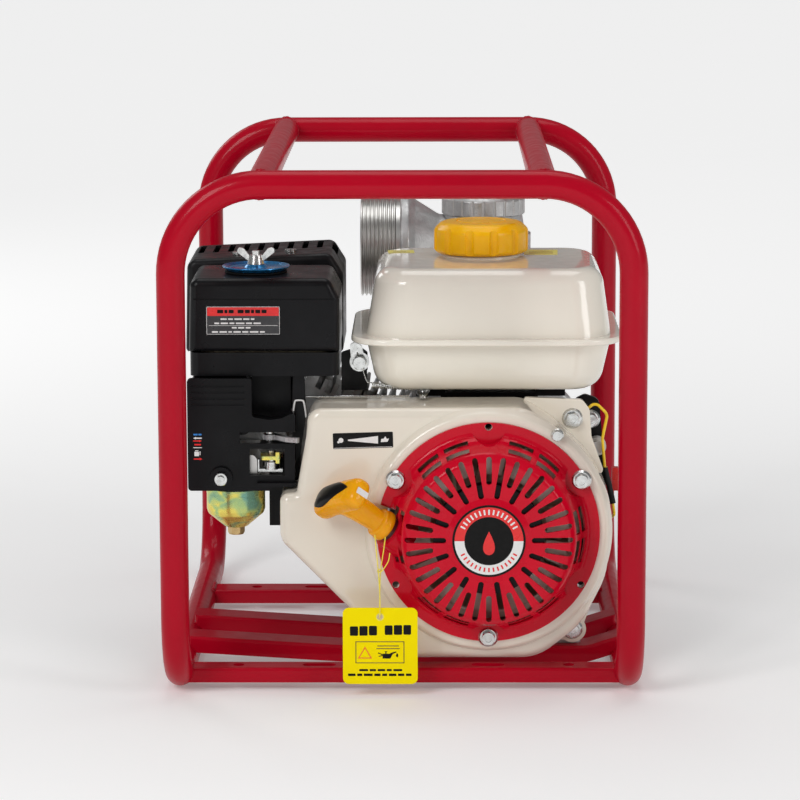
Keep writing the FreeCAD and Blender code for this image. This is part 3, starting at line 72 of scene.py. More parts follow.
# ------------------------------------------------------------------ camera
def camera():
    pitch, yaw, roll = map(math.radians, (9.7262, -0.6513, -0.16125))
    fwd = Vector((math.sin(yaw) * math.cos(pitch), math.cos(yaw) * math.cos(pitch), -math.sin(pitch)))
    right = Vector((math.cos(yaw), -math.sin(yaw), 0))
    up = right.cross(fwd)
    r2 = right * math.cos(roll) + up * math.sin(roll)
    u2 = up * math.cos(roll) - right * math.sin(roll)
    cam = bpy.data.objects.new("camera", bpy.data.cameras.new("camera"))
    sc.collection.objects.link(cam)
    cam.data.sensor_width = 36
    cam.data.lens = 3362.48 / 800 * 36
    cam.data.clip_start, cam.data.clip_end = 0.05, 200
    m = Matrix((r2, u2, -fwd)).transposed().to_4x4()
    m.translation = P(27.606, -2829.25, 686.895)
    cam.matrix_world = m
    sc.camera = cam


camera()


# ------------------------------------------------------------------ materials
def nd(nt, kind, **props):
    n = nt.nodes.new(kind)
    for k, v in props.items():
        setattr(n, k, v)
    return n


def mat(name, base, rough=0.4, metal=0.0, coat=0.0, coat_rough=0.04, var=0.08, var_scale=25.0, rvar=0.10, rscale=90.0,
        bump=0.15, bscale=700.0, bdist=0.00015, tint=None, specks=None, stretch=None, spec=None, sheen=0.0, wave=None, alpha_sss=0.0, grime=0.0):
    m = bpy.data.materials.new(name)
    m.use_nodes = True
    nt = m.node_tree
    b = nt.nodes["Principled BSDF"]
    b.inputs["Metallic"].default_value = metal
    b.inputs["Coat Weight"].default_value = coat
    b.inputs["Coat Roughness"].default_value = coat_rough
    if spec is not None:
        b.inputs["Specular IOR Level"].default_value = spec
    if sheen:
        b.inputs["Sheen Weight"].default_value = sheen
    if alpha_sss:
        b.inputs["Subsurface Weight"].default_value = alpha_sss
        b.inputs["Subsurface Scale"].default_value = 0.004
    tc = nd(nt, "ShaderNodeTexCoord")
    src = tc.outputs["Object"]
    if stretch:
        mp = nd(nt, "ShaderNodeMapping")
        mp.inputs["Scale"].default_value = stretch
        nt.links.new(src, mp.inputs["Vector"])
        src = mp.outputs["Vector"]
    # broad colour variation
    n1 = nd(nt, "ShaderNodeTexNoise")
    n1.inputs["Scale"].default_value = var_scale
    n1.inputs["Detail"].default_value = 5
    n1.inputs["Roughness"].default_value = 0.6
    nt.links.new(src, n1.inputs["Vector"])
    ramp = nd(nt, "ShaderNodeValToRGB")
    lo = [max(0, c * (1 - var)) for c in base]
    hi = [min(1, c * (1 + var)) for c in base]
    if tint:
        hi = [min(1, h * 0.5 + t * 0.5) for h, t in zip(hi, tint)]
    ramp.color_ramp.elements[0].position = 0.32
    ramp.color_ramp.elements[1].position = 0.68
    ramp.color_ramp.elements[0].color = (*lo, 1)
    ramp.color_ramp.elements[1].color = (*hi, 1)
    nt.links.new(n1.outputs["Fac"], ramp.inputs["Fac"])
    col = ramp.outputs["Color"]
    # fine specks
    if specks:
        n3 = nd(nt, "ShaderNodeTexNoise")
        n3.inputs["Scale"].default_value = specks[0]
        n3.inputs["Detail"].default_value = 2
        nt.links.new(src, n3.inputs["Vector"])
        r3 = nd(nt, "ShaderNodeValToRGB")
        r3.color_ramp.elements[0].position = specks[1]
        r3.color_ramp.elements[1].position = min(1, specks[1] + 0.08)
        nt.links.new(n3.outputs["Fac"], r3.inputs["Fac"])
        mx = nd(nt, "ShaderNodeMix", data_type="RGBA")
        nt.links.new(r3.outputs["Color"], mx.inputs["Factor"])
        nt.links.new(col, mx.inputs[6])
        mx.inputs[7].default_value = (*specks[2], 1)
        col = mx.outputs[2]
    if grime:
        # dirt and wear: the colour darkened in broad random patches
        n4 = nd(nt, "ShaderNodeTexNoise")
        n4.inputs["Scale"].default_value = 9
        n4.inputs["Detail"].default_value = 8
        n4.inputs["Roughness"].default_value = 0.7
        nt.links.new(src, n4.inputs["Vector"])
        r4 = nd(nt, "ShaderNodeValToRGB")
        r4.color_ramp.elements[0].position = 0.50
        r4.color_ramp.elements[1].position = 0.80
        r4.color_ramp.elements[1].color = (grime, grime, grime, 1)
        nt.links.new(n4.outputs["Fac"], r4.inputs["Fac"])
        mx = nd(nt, "ShaderNodeMix", data_type="RGBA")
        nt.links.new(r4.outputs["Color"], mx.inputs["Factor"])
        nt.links.new(col, mx.inputs[6])
        mx.inputs[7].default_value = (base[0] * 0.45, base[1] * 0.42, base[2] * 0.38, 1)
        col = mx.outputs[2]
    nt.links.new(col, b.inputs["Base Color"])
    # roughness variation
    n2 = nd(nt, "ShaderNodeTexNoise")
    n2.inputs["Scale"].default_value = rscale
    n2.inputs["Detail"].default_value = 4
    nt.links.new(src, n2.inputs["Vector"])
    mr = nd(nt, "ShaderNodeMapRange")
    mr.inputs["From Min"].default_value = 0.3
    mr.inputs["From Max"].default_value = 0.7
    mr.inputs["To Min"].default_value = max(0.02, rough - rvar)
    mr.inputs["To Max"].default_value = min(1.0, rough + rvar)
    nt.links.new(n2.outputs["Fac"], mr.inputs["Value"])
    nt.links.new(mr.outputs["Result"], b.inputs["Roughness"])
    # surface relief
    if wave:
        t = nd(nt, "ShaderNodeTexWave")
        t.wave_type, t.bands_direction = "BANDS", wave[0]
        t.inputs["Scale"].default_value = wave[1]
        t.inputs["Distortion"].default_value = wave[2]
        t.inputs["Detail"].default_value = 2
        nt.links.new(src, t.inputs["Vector"])
        h = t.outputs["Fac"]
    else:
        t = nd(nt, "ShaderNodeTexNoise")
        t.inputs["Scale"].default_value = bscale
        t.inputs["Detail"].default_value = 3
        nt.links.new(src, t.inputs["Vector"])
        h = t.outputs["Fac"]
    bp = nd(nt, "ShaderNodeBump")
    bp.inputs["Strength"].default_value = bump
    bp.inputs["Distance"].default_value = bdist
    nt.links.new(h, bp.inputs["Height"])
    nt.links.new(bp.outputs["Normal"], b.inputs["Normal"])
    return m


def iridescent(name):
    """Yellow-zinc passivate: gold, green, pink and blue films drifting over bright plate."""
    m = bpy.data.materials.new(name)
    m.use_nodes = True
    nt = m.node_tree
    b = nt.nodes["Principled BSDF"]
    b.inputs["Metallic"].default_value = 0.75
    tc = nd(nt, "ShaderNodeTexCoord")
    n1 = nd(nt, "ShaderNodeTexNoise")
    n1.inputs["Scale"].default_value = 42
    n1.inputs["Detail"].default_value = 3
    n1.inputs["Distortion"].default_value = 1.2
    nt.links.new(tc.outputs["Object"], n1.inputs["Vector"])
    r = nd(nt, "ShaderNodeValToRGB")
    els = r.color_ramp.elements
    els[0].position, els[0].color = 0.30, (0.20, 0.42, 0.33, 1)
    els[1].position, els[1].color = 0.74, (0.72, 0.40, 0.30, 1)
    for pos, c in ((0.40, (0.45, 0.62, 0.25)), (0.48, (0.88, 0.76, 0.16)), (0.58, (0.84, 0.66, 0.14)), (0.66, (0.86, 0.60, 0.24))):
        e = els.new(pos)
        e.color = (*c, 1)
    nt.links.new(n1.outputs["Fac"], r.inputs["Fac"])
    nt.links.new(r.outputs["Color"], b.inputs["Base Color"])
    n2 = nd(nt, "ShaderNodeTexNoise")
    n2.inputs["Scale"].default_value = 160
    nt.links.new(tc.outputs["Object"], n2.inputs["Vector"])
    mr = nd(nt, "ShaderNodeMapRange")
    mr.inputs["To Min"].default_value = 0.16
    mr.inputs["To Max"].default_value = 0.38
    nt.links.new(n2.outputs["Fac"], mr.inputs["Value"])
    nt.links.new(mr.outputs["Result"], b.inputs["Roughness"])
    bp = nd(nt, "ShaderNodeBump")
    bp.inputs["Strength"].default_value = 0.12
    bp.inputs["Distance"].default_value = 0.0002
    nt.links.new(n2.outputs["Fac"], bp.inputs["Height"])
    nt.links.new(bp.outputs["Normal"], b.inputs["Normal"])
    return m


M = {
    "red_frame": mat("red_frame_paint", (0.43, 0.0004, 0.014), 0.34, spec=0.08, coat=0.18, coat_rough=0.08, var=0.05, var_scale=14, rvar=0.06, bump=0.08, bscale=420, bdist=0.0002, grime=0.08),
    "red_cover": mat("red_cover_paint", (0.60, 0.0004, 0.018), 0.26, spec=0.08, coat=0.26, coat_rough=0.04, var=0.06, var_scale=18, rvar=0.06, bump=0.06, bscale=380, bdist=0.0002),
    "cast_alu": mat("cast_aluminium", (0.50, 0.50, 0.50), 0.46, metal=0.75, var=0.16, var_scale=60, rvar=0.12, rscale=220, bump=0.55, bscale=520, bdist=0.0005, specks=(900, 0.64, (0.34, 0.34, 0.34)), grime=0.4),
    "machined_alu": mat("machined_aluminium", (0.62, 0.61, 0.59), 0.32, metal=1.0, var=0.05, var_scale=40, rvar=0.05, bump=0.06, bscale=500, bdist=0.0001),
    "steel_black": mat("black_steel", (0.008, 0.008, 0.009), 0.38, spec=0.18, var=0.25, var_scale=40, rvar=0.10, bump=0.18, bscale=600, grime=0.3),
    "steel_dark": mat("oiled_steel", (0.16, 0.155, 0.15), 0.38, metal=0.9, var=0.22, var_scale=50, rvar=0.14, bump=0.2, bscale=800, grime=0.5),
    "zinc": mat("bright_zinc", (0.66, 0.67, 0.66), 0.22, metal=1.0, var=0.12, var_scale=120, rvar=0.10, rscale=300, bump=0.10, bscale=900, specks=(1400, 0.70, (0.46, 0.46, 0.44))),
    "cast_iron": mat("cast_iron", (0.20, 0.20, 0.20), 0.5, metal=0.8, var=0.2, var_scale=80, bump=0.5, bscale=600, bdist=0.0004, grime=0.4),
    "black_plastic": mat("black_moulding", (0.006, 0.006, 0.007), 0.32, spec=0.16, var=0.30, var_scale=26, rvar=0.07, rscale=40, bump=0.16, bscale=1500, bdist=0.0001, specks=(700, 0.74, (0.012, 0.012, 0.013))),
    "white_plastic": mat("white_nylon", (0.68, 0.68, 0.66), 0.42, var=0.06, bump=0.1, bscale=800),
    "yellow_plastic": mat("yellow_moulding", (0.92, 0.47, 0.0), 0.30, spec=0.15, coat=0.2, coat_rough=0.18, var=0.07, var_scale=30, rvar=0.06, bump=0.10, bscale=900, alpha_sss=0.10, tint=(0.95, 0.55, 0.01)),
    "orange_plastic": mat("grip_moulding", (0.90, 0.38, 0.0), 0.26, spec=0.15, coat=0.25, coat_rough=0.12, var=0.08, var_scale=40, rvar=0.06, bump=0.08, bscale=1100, alpha_sss=0.18, tint=(0.92, 0.45, 0.01)),
    "cream": mat("cream_enamel", (0.87, 0.83, 0.73), 0.20, spec=0.3, coat=0.9, coat_rough=0.03, var=0.025, var_scale=8, rvar=0.04, bump=0.05, bscale=260, bdist=0.0003, specks=(1600, 0.76, (0.70, 0.64, 0.54))),
    "cream_case": mat("cream_cover_enamel", (0.82, 0.765, 0.655), 0.22, spec=0.3, coat=0.8, coat_rough=0.05, var=0.035, var_scale=10, rvar=0.05, bump=0.06, bscale=240, bdist=0.0003, specks=(1600, 0.76, (0.66, 0.60, 0.50))),
    "cream_nylon": mat("fan_nylon", (0.50, 0.46, 0.34), 0.5, var=0.12, var_scale=40, bump=0.2, bscale=700),
    "yellow_card": mat("tag_sheet", (1.0, 0.80, 0.0), 0.42, spec=0.06, var=0.03, var_scale=40, rvar=0.06, bump=0.15, bscale=1200, bdist=0.00005),
    "string": mat("yellow_string", (0.93, 0.78, 0.06), 0.55, var=0.15, var_scale=900, bump=0.6, bscale=2500, bdist=0.0002, sheen=0.2),
    "rope": mat("braided_rope", (0.70, 0.70, 0.66), 0.75, var=0.25, var_scale=900, bump=0.9, bscale=1500, bdist=0.0004, sheen=0.3),
    "blue_washer": mat("blue_anodised", (0.012, 0.20, 0.48), 0.20, metal=0.6, coat=0.4, coat_rough=0.05, var=0.15, var_scale=60, bump=0.1, wave=("Z", 260, 1.0)),
    "filter_foam": mat("filter_media", (0.30, 0.26, 0.18), 0.85, var=0.2, var_scale=200, bump=0.8, bscale=900, bdist=0.0006),
    "grey_lever": mat("grey_lever", (0.48, 0.475, 0.48), 0.34, metal=0.35, var=0.08, var_scale=90, bump=0.25, bscale=900),
    "yellow_zinc": iridescent("yellow_zinc"),
    "yellow_lead": mat("yellow_lead", (0.93, 0.60, 0.01), 0.35, var=0.08, var_scale=200, bump=0.1, bscale=900, coat=0.2),
    "rubber": mat("black_rubber", (0.009, 0.009, 0.009), 0.6, spec=0.25, var=0.3, var_scale=120, bump=0.3, bscale=900),
    "brass": mat("brass_nut", (0.62, 0.44, 0.20), 0.32, metal=0.9, var=0.12, var_scale=120, bump=0.15, bscale=900),
    "print_black": mat("print_black", (0.008, 0.008, 0.008), 0.35, spec=0.12, var=0.2, var_scale=300, bump=0.03),
    "print_grey": mat("print_grey", (0.035, 0.035, 0.038), 0.32, var=0.15, var_scale=300, bump=0.03),
    "print_white": mat("print_white", (0.80, 0.80, 0.79), 0.32, var=0.03, var_scale=300, bump=0.03),
    "print_red": mat("print_red", (0.78, 0.02, 0.02), 0.30, var=0.06, var_scale=300, bump=0.03),
    "print_orange": mat("print_orange", (0.90, 0.20, 0.01), 0.32, var=0.06, var_scale=300, bump=0.03),
    "print_brown": mat("print_brown", (0.25, 0.17, 0.01), 0.35, var=0.10, var_scale=300, bump=0.03),
    "print_blue": mat("print_blue", (0.03, 0.22, 0.62), 0.32, var=0.06, var_scale=300, bump=0.03),
    "print_yellow": mat("print_yellow", (0.84, 0.76, 0.16), 0.35, var=0.06, var_scale=300, bump=0.03),
    "red_conn": mat("red_connector", (0.62, 0.02, 0.015), 0.35, var=0.08, var_scale=200, bump=0.1),
    "weld": mat("weld_bead_paint", (0.38, 0.0006, 0.013), 0.34, spec=0.14, coat=0.16, coat_rough=0.1, var=0.14, var_scale=160, bump=0.5, bscale=500, bdist=0.0005),
}

record_slot = {s["node"]: s.get("material_slot") for s in frame["record"].get("subparts", [])}
for name, o in N.items():
    m = M.get(record_slot.get(name), M["zinc"])
    if name == "fan_cover":
        m = M["cream_case"]
    if not o.data.materials:
        o.data.materials.append(m)
    for s in o.material_slots:
        s.material = m


def paint(node, material, test):
    """Gives the faces of a CAD node that pass the test another material slot."""
    me = N[node].data
    me.materials.append(M[material])
    k = len(me.materials) - 1
    for p in me.polygons:
        c = p.center * 1000
        if test(c.x, c.y, c.z):
            p.material_index = k


paint("ignition_leads", "rubber", lambda x, y, z: 137.9 < z < 168 and x > 160 and not (y > -121.5 and x > 170.4))
paint("ignition_leads", "red_conn", lambda x, y, z: 146.9 < z < 166.1 and x > 170.4 and y > -121.1)
paint("ignition_leads", "rubber", lambda x, y, z: x < 100)
paint("muffler_guard", "zinc", lambda x, y, z: z > 327.2 and min(abs(x + 140), abs(x + 96)) < 5.2 and abs(y + 18) < 5.2)
paint("brackets", "white_plastic", lambda x, y, z: math.hypot(x - 158, z - 184) < 7.7 and y < -112.05)
paint("intake_fasteners", "brass", lambda x, y, z: z < 137 and abs(x + 137) < 9)
paint("carburettor_body", "yellow_zinc", lambda x, y, z: z < 154.6)
paint("discharge_head", "machined_alu", lambda x, y, z: x < -6 and math.hypot(y - 130, z - 318) < 44.2)
paint("suction_flange", "machined_alu", lambda x, y, z: y > 203.2)


# ------------------------------------------------------------------ mesh helpers
def put(name, me, body, mats=None, smooth=True):
    o = bpy.data.objects.new(name, me)
    sc.collection.objects.link(o)
    for m in (mats or []):
        me.materials.append(M[m])
    for p in me.polygons:
        p.use_smooth = smooth
    if body:
        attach(o, body)
    return o


def smooth_by_angle(o, deg=40):
    bpy.context.view_layer.objects.active = o
    for q in bpy.context.selected_objects:
        q.select_set(False)
    o.select_set(True)
    bpy.ops.object.shade_smooth_by_angle(angle=math.radians(deg))


def mesh(verts, faces, name="m"):
    me = bpy.data.meshes.new(name)
    me.from_pydata([tuple(v) for v in verts], [], faces)
    bm = bmesh.new()
    bm.from_mesh(me)
    bmesh.ops.recalc_face_normals(bm, faces=bm.faces)
    bm.to_mesh(me)
    bm.free()
    return me


def rr(x0, x1, z0, z1, r, n=5, rot=0.0):
    pts = []
    for cx, cz, a0 in ((x1 - r, z1 - r, 0), (x0 + r, z1 - r, 90), (x0 + r, z0 + r, 180), (x1 - r, z0 + r, 270)):
        for k in range(n + 1):
            a = math.radians(a0 + 90 * k / n)
            pts.append((cx + r * math.cos(a), cz + r * math.sin(a)))
    if rot:
        mx, mz, a = (x0 + x1) / 2, (z0 + z1) / 2, math.radians(rot)
        pts = [(mx + (x - mx) * math.cos(a) - (z - mz) * math.sin(a), mz + (x - mx) * math.sin(a) + (z - mz) * math.cos(a)) for x, z in pts]
    return pts


def disc(cx, cz, r, n=40):
    return [(cx + r * math.cos(2 * math.pi * k / n), cz + r * math.sin(2 * math.pi * k / n)) for k in range(n)]


def solids(name, outlines, place, thick, m, body, bevel=0.0, holes=()):
    """Thin solid prints or plates: each outline, a list of (u, v), raised by thick along the place's normal."""
    bm = bmesh.new()
    for out in outlines:
        lo = [bm.verts.new(place(u, v, 0.0)) for u, v in out]
        hi = [bm.verts.new(place(u, v, thick)) for u, v in out]
        n = len(out)
        for k in range(n):
            bm.faces.new((lo[k], lo[(k + 1) % n], hi[(k + 1) % n], hi[k]))
        bm.faces.new(lo[::-1])
        bm.faces.new(hi)
    bmesh.ops.recalc_face_normals(bm, faces=bm.faces)
    if bevel:
        es = [e for e in bm.edges if e.calc_face_angle(0) > 0.8]
        bmesh.ops.bevel(bm, geom=es, offset=bevel * MM, segments=2, affect="EDGES", profile=0.6)
    bmesh.ops.triangulate(bm, faces=[f for f in bm.faces if len(f.verts) > 4])
    me = bpy.data.meshes.new(name)
    bm.to_mesh(me)
    bm.free()
    return put(name, me, body, [m], smooth=False)


def front(y):
    return lambda u, v, t: P(u, y - t, v)


def top(z):
    return lambda u, v, t: P(u, v, z + t)


def ring_solid(name, cx, cz, r0, r1, a0, a1, y, thick, m, body, n=64):
    bm = bmesh.new()
    full = abs(a1 - a0) >= 360
    k = n if full else n + 1
    q = []
    for i in range(k):
        a = math.radians(a0 + (a1 - a0) * i / n)
        q.append([bm.verts.new(P(cx + r * math.cos(a), y - t, cz + r * math.sin(a))) for r, t in ((r0, 0), (r1, 0), (r1, thick), (r0, thick))])
    for i in range(n):
        a, b = q[i], q[(i + 1) % k]
        for j in range(4):
            bm.faces.new((a[j], a[(j + 1) % 4], b[(j + 1) % 4], b[j]))
    if not full:
        bm.faces.new(q[0])
        bm.faces.new(q[-1][::-1])
    bmesh.ops.recalc_face_normals(bm, faces=bm.faces)
    me = bpy.data.meshes.new(name)
    bm.to_mesh(me)
    bm.free()
    return put(name, me, body, [m], smooth=False)


def pipe(name, pts, r, m, body, n=10, closed=False, bumps=None):
    """A round bar along points (mm), closed at both ends; bumps(i) scales the radius."""
    pts = [Vector(p) for p in pts]
    c = len(pts)
    verts, faces = [], []
    up = None
    for i, p in enumerate(pts):
        a = pts[(i - 1) % c] if (closed or i > 0) else pts[0]
        b = pts[(i + 1) % c] if (closed or i < c - 1) else pts[-1]
        t = (b - a).normalized()
        if up is None:
            up = t.orthogonal().normalized()
        up = (up - t * up.dot(t)).normalized()
        side = t.cross(up)
        rr_ = r * (bumps(i) if bumps else 1.0)
        for k in range(n):
            w = 2 * math.pi * k / n
            verts.append((p + up * (rr_ * math.cos(w)) + side * (rr_ * math.sin(w))) * MM)
    last = c if closed else c - 1
    for i in range(last):
        for k in range(n):
            i2 = (i + 1) % c
            faces.append((i * n + k, i * n + (k + 1) % n, i2 * n + (k + 1) % n, i2 * n + k))
    if not closed:
        faces.append(tuple(range(n))[::-1])
        faces.append(tuple((c - 1) * n + k for k in range(n)))
    return put(name, mesh(verts, faces, name), body, [m])


def lathe(name, prof, origin, axis, m, body, n=64):
    """Revolves (radius, height) points, a closed loop, about an axis through origin."""
    ax = Vector(axis).normalized()
    u = ax.orthogonal().normalized()
    w = ax.cross(u)
    o = Vector(origin)
    c = len(prof)
    verts, faces = [], []
    for i in range(n):
        a = 2 * math.pi * i / n
        d = u * math.cos(a) + w * math.sin(a)
        for r, h in prof:
            verts.append((o + d * r + ax * h) * MM)
    for i in range(n):
        j = (i + 1) % n
        for k in range(c):
            faces.append((i * c + k, i * c + (k + 1) % c, j * c + (k + 1) % c, j * c + k))
    ob = put(name, mesh(verts, faces, name), body, [m])
    smooth_by_angle(ob, 35)
    return ob


def smoothed(pts, per=6):
    """Catmull-Rom through the points."""
    pts = [Vector(p) for p in pts]
    out = []
    for i in range(len(pts) - 1):
        p0 = pts[max(i - 1, 0)]; p1 = pts[i]; p2 = pts[i + 1]; p3 = pts[min(i + 2, len(pts) - 1)]
        for k in range(per):
            t = k / per
            out.append(0.5 * ((2 * p1) + (p2 - p0) * t + (2 * p0 - 5 * p1 + 4 * p2 - p3) * t * t + (3 * p1 - p0 - 3 * p2 + p3) * t ** 3))
    out.append(pts[-1])
    return out


# ------------------------------------------------------------------ tag string, the one free cord
STRING_R = 0.45
STRING = [(-22.3, -219.0, 131.0), (-21.4, -224.0, 121.0), (-19.6, -227.6, 105.0), (-18.3, -228.6, 84.0), (-18.3, -228.6, 70.0), (-18.4, -227.9, 65.2),
          (-18.5, -225.5, 65.2), (-18.6, -224.8, 70.0), (-18.5, -225.2, 84.0), (-18.0, -225.6, 104.0), (-15.4, -222.8, 118.0), (-14.0, -218.9, 129.4)]


def string():
    cu = bpy.data.curves.new("tag_cord", "CURVE")
    cu.dimensions = "3D"
    s = cu.splines.new("NURBS")
    s.points.add(len(STRING) - 1)
    for p, c in zip(s.points, STRING):
        p.co = (*P(*c), 1)
    s.order_u = 3
    s.use_endpoint_u = True
    s.resolution_u = 14
    cu.bevel_depth = STRING_R * MM
    cu.bevel_resolution = 4
    cu.use_fill_caps = True
    cu.materials.append(M["string"])
    o = bpy.data.objects.new("tag_cord", cu)
    sc.collection.objects.link(o)
    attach(o, "grip")
    return o


cord = string()
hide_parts("tag_string")

# ------------------------------------------------------------------ starter grip
GP = Vector((-13.0, -206.0, 134.0))
GN = Vector((-0.74, -0.33, 0.585)).normalized()
TB = Vector((0.66, -0.70, 0.27))
TB = (TB - GN * TB.dot(GN)).normalized()
TC = GP + GN * 46.0
TU = GN.cross(TB).normalized()


def G(x, y, z):
    return (TC + TB * x + TU * y + GN * z) * MM


def sup(a, b0, b1, n, count=36):
    """Super-ellipse section: half width a, height b1 above and b0 below."""
    out = []
    for k in range(count):
        w = 2 * math.pi * k / count
        c, s = math.cos(w), math.sin(w)
        x = a * math.copysign(abs(c) ** (2 / n), c)
        y = (b1 if s >= 0 else b0) * math.copysign(abs(s) ** (2 / n), s)
        out.append((x, y))
    return out


def grip_parts():
    verts, faces = [], []

    def tube_of(secs):
        base = len(verts)
        c = len(secs[0])
        for s in secs:
            verts.extend(s)
        for i in range(len(secs) - 1):
            for k in range(c):
                faces.append((base + i * c + k, base + i * c + (k + 1) % c, base + (i + 1) * c + (k + 1) % c, base + (i + 1) * c + k))
        faces.append(tuple(base + k for k in range(c))[::-1])
        faces.append(tuple(base + (len(secs) - 1) * c + k for k in range(c)))

    # cross handle: arched back, grooved underside, rounded ends
    secs = []
    n = 60
    for i in range(n + 1):
        x = -31.0 + 58.0 * i / n
        e = min(1.0, max(0.0, 1 - (abs(x + 2) / 29.15) ** 9)) ** (1 / 3.2)
        t = (x + 2) / 29.0
        up = (12.2 - 4.2 * t * t) * e
        dn = (9.2 - 1.4 * t * t + 0.6 * math.cos(3 * math.pi * t)) * e
        wd = (12.2 - 1.0 * math.cos(math.pi * t) * 0.5) * e
        sec = []
        for (a, b) in sup(wd, dn, up, 2.9):
            if b < -2 and abs(x + 2) < 26:
                b += 0.55 * max(0.0, math.sin(a * 2 * math.pi / 3.4)) * min(1, (26 - abs(x + 2)) / 3)
            sec.append(G(x, a, b))
        secs.append(sec)
    tube_of(secs)
    # neck, flared into the handle and down to the collar
    secs = []
    for z, r in ((-39, 9.4), (-36, 9.0), (-31, 9.2), (-24, 9.7), (-17, 10.2), (-10, 10.9), (-6, 11.6), (0, 11.4), (4, 9.0)):
        secs.append([G(r * 1.05 * math.cos(2 * math.pi * k / 36), r * math.sin(2 * math.pi * k / 36), z) for k in range(36)])
    tube_of(secs)
    # collar with a rolled lip
    secs = []
    for z, r in ((-45.6, 9.5), (-45.6, 11.2), (-45.0, 12.2), (-44.0, 12.7), (-41.6, 12.7), (-40.0, 12.2), (-38.8, 11.8), (-37.2, 12.0), (-36.0, 11.7), (-35.4, 10.6), (-35.0, 8.6)):
        secs.append([G(r * math.cos(2 * math.pi * k / 48), r * math.sin(2 * math.pi * k / 48), z) for k in range(48)])
    tube_of(secs)
    me = mesh(verts, faces, "grip")
    o = put("pull_grip", me, None, ["orange_plastic"])
    rm = o.modifiers.new("fuse", "REMESH")
    rm.mode = "VOXEL"
    rm.voxel_size = 0.00055
    rm.use_smooth_shade = True
    sm = o.modifiers.new("soften", "SMOOTH")
    sm.factor = 0.5
    sm.iterations = 4
    dg = bpy.context.evaluated_depsgraph_get()
    me2 = bpy.data.meshes.new_from_object(o.evaluated_get(dg))
    o.modifiers.clear()
    old = o.data
    o.data = me2
    bpy.data.meshes.remove(old)
    me2.materials.clear()
    me2.materials.append(M["orange_plastic"])
    for p in me2.polygons:
        p.use_smooth = True
    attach(o, "grip")
    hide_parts("starter_grip")
    return o


grip = grip_parts()


def grip_cap_and_hollow_shade():
    """Soft black insert let into the back of the handle: an almond that follows the arch. Its black is partly the real
    cap over the rope knot and partly painted shade of the knot hollow.
    """
    verts, faces = [], []
    nx, ny = 34, 12
    x0, x1 = -29.4, 18.5

    def top_z(x, a):
        e = min(1.0, max(0.0, 1 - (abs(x + 2) / 29.15) ** 9)) ** (1 / 3.2)
        t = (x + 2) / 29.0
        up = (12.2 - 4.2 * t * t) * e
        wd = (12.2 - 0.5 * math.cos(math.pi * t)) * e
        u = min(0.999, abs(a) / max(wd, 1e-3))
        return up * (1 - u ** 2.9) ** (1 / 2.9)

    for side in (0, 1):
        for i in range(nx + 1):
            s = i / nx
            x = x0 + (x1 - x0) * s
            half = 10.8 * (math.sin(math.pi * min(1, s ** 0.62)) ** 0.75) + 0.02
            for j in range(ny + 1):
                a = half * (2 * j / ny - 1) + 0.6
                edge = 1 - abs(2 * j / ny - 1) ** 6
                lift = (0.22 + 0.35 * edge * math.sin(math.pi * s) ** 0.5) if side else -1.2
                verts.append(G(x, a, top_z(x, a) + lift))
    row = ny + 1
    off = (nx + 1) * row
    for i in range(nx):
        for j in range(ny):
            q = (i * row + j, i * row + j + 1, (i + 1) * row + j + 1, (i + 1) * row + j)
            faces.append(tuple(off + k for k in q))
            faces.append(q[::-1])
    rim = [(0, j) for j in range(ny)] + [(i, ny) for i in range(nx)] + [(nx, j) for j in range(ny, 0, -1)] + [(i, 0) for i in range(nx, 0, -1)]
    for k in range(len(rim)):
        (i, j), (i2, j2) = rim[k], rim[(k + 1) % len(rim)]
        a, b = i * row + j, i2 * row + j2
        faces.append((a, b, off + b, off + a))
    # black almond: the knot cap, its black also painted shade of the hollow beneath
    o = put("pull_grip_cap_and_shade", mesh(verts, faces, "cap_and_shade"), "grip", ["black_plastic"])
    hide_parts("grip_insert")
    smooth_by_angle(o, 50)
    return o


grip_cap_and_hollow_shade()


def grip_label():
    def pl(u, v, t):
        return G(27.02 + t, u, v)
    o = solids("grip_mark", [rr(-3.4, 1.8, -5.2, 5.6, 0.4)], pl, 0.35, "print_white", "grip")
    return o


grip_label()


def starter_rope():
    """Rope between the guide and the grip. At rest its length is inside the neck."""
    span = 37.0
    start, end = GP - GN * 2.0, GP - GN * 2.0 + GN * span
    rings, k = 150, 12
    verts, faces = [], []
    up = GN.orthogonal().normalized()
    side = GN.cross(up)
    for i in range(rings + 1):
        g = i / rings
        t = 0.5 - math.sin(math.asin(1 - 2 * g) / 3)
        p = start + GN * (span * t)
        for j in range(k):
            a = 2 * math.pi * j / k
            tw = 1 + 0.07 * math.cos(3 * a + 1.1 * i) + 0.07 * math.cos(3 * a - 1.1 * i)
            verts.append((p + up * (1.55 * tw * math.cos(a)) + side * (1.55 * tw * math.sin(a))) * MM)
    for i in range(rings):
        for j in range(k):
            faces.append((i * k + j, i * k + (j + 1) % k, (i + 1) * k + (j + 1) % k, (i + 1) * k + j))
    faces.append(tuple(range(k))[::-1])
    faces.append(tuple(rings * k + j for j in range(k)))
    o = put("starter_rope", mesh(verts, faces, "rope"), None, ["rope"])
    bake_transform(o)
    return o


starter_rope()

# knot in the tag string, with its short tail
knot = pipe("tag_knot", smoothed([(-20.4, -227.2, 103.6), (-18.2, -229.2, 105.4), (-17.2, -226.2, 103.4), (-19.4, -225.2, 102.0), (-20.0, -228.6, 103.0), (-17.4, -229.0, 103.2),
                                  (-14.2, -228.0, 107.0), (-11.4, -227.4, 112.0), (-10.4, -227.0, 118.0)], 8), STRING_R, "string", "grip", n=8)

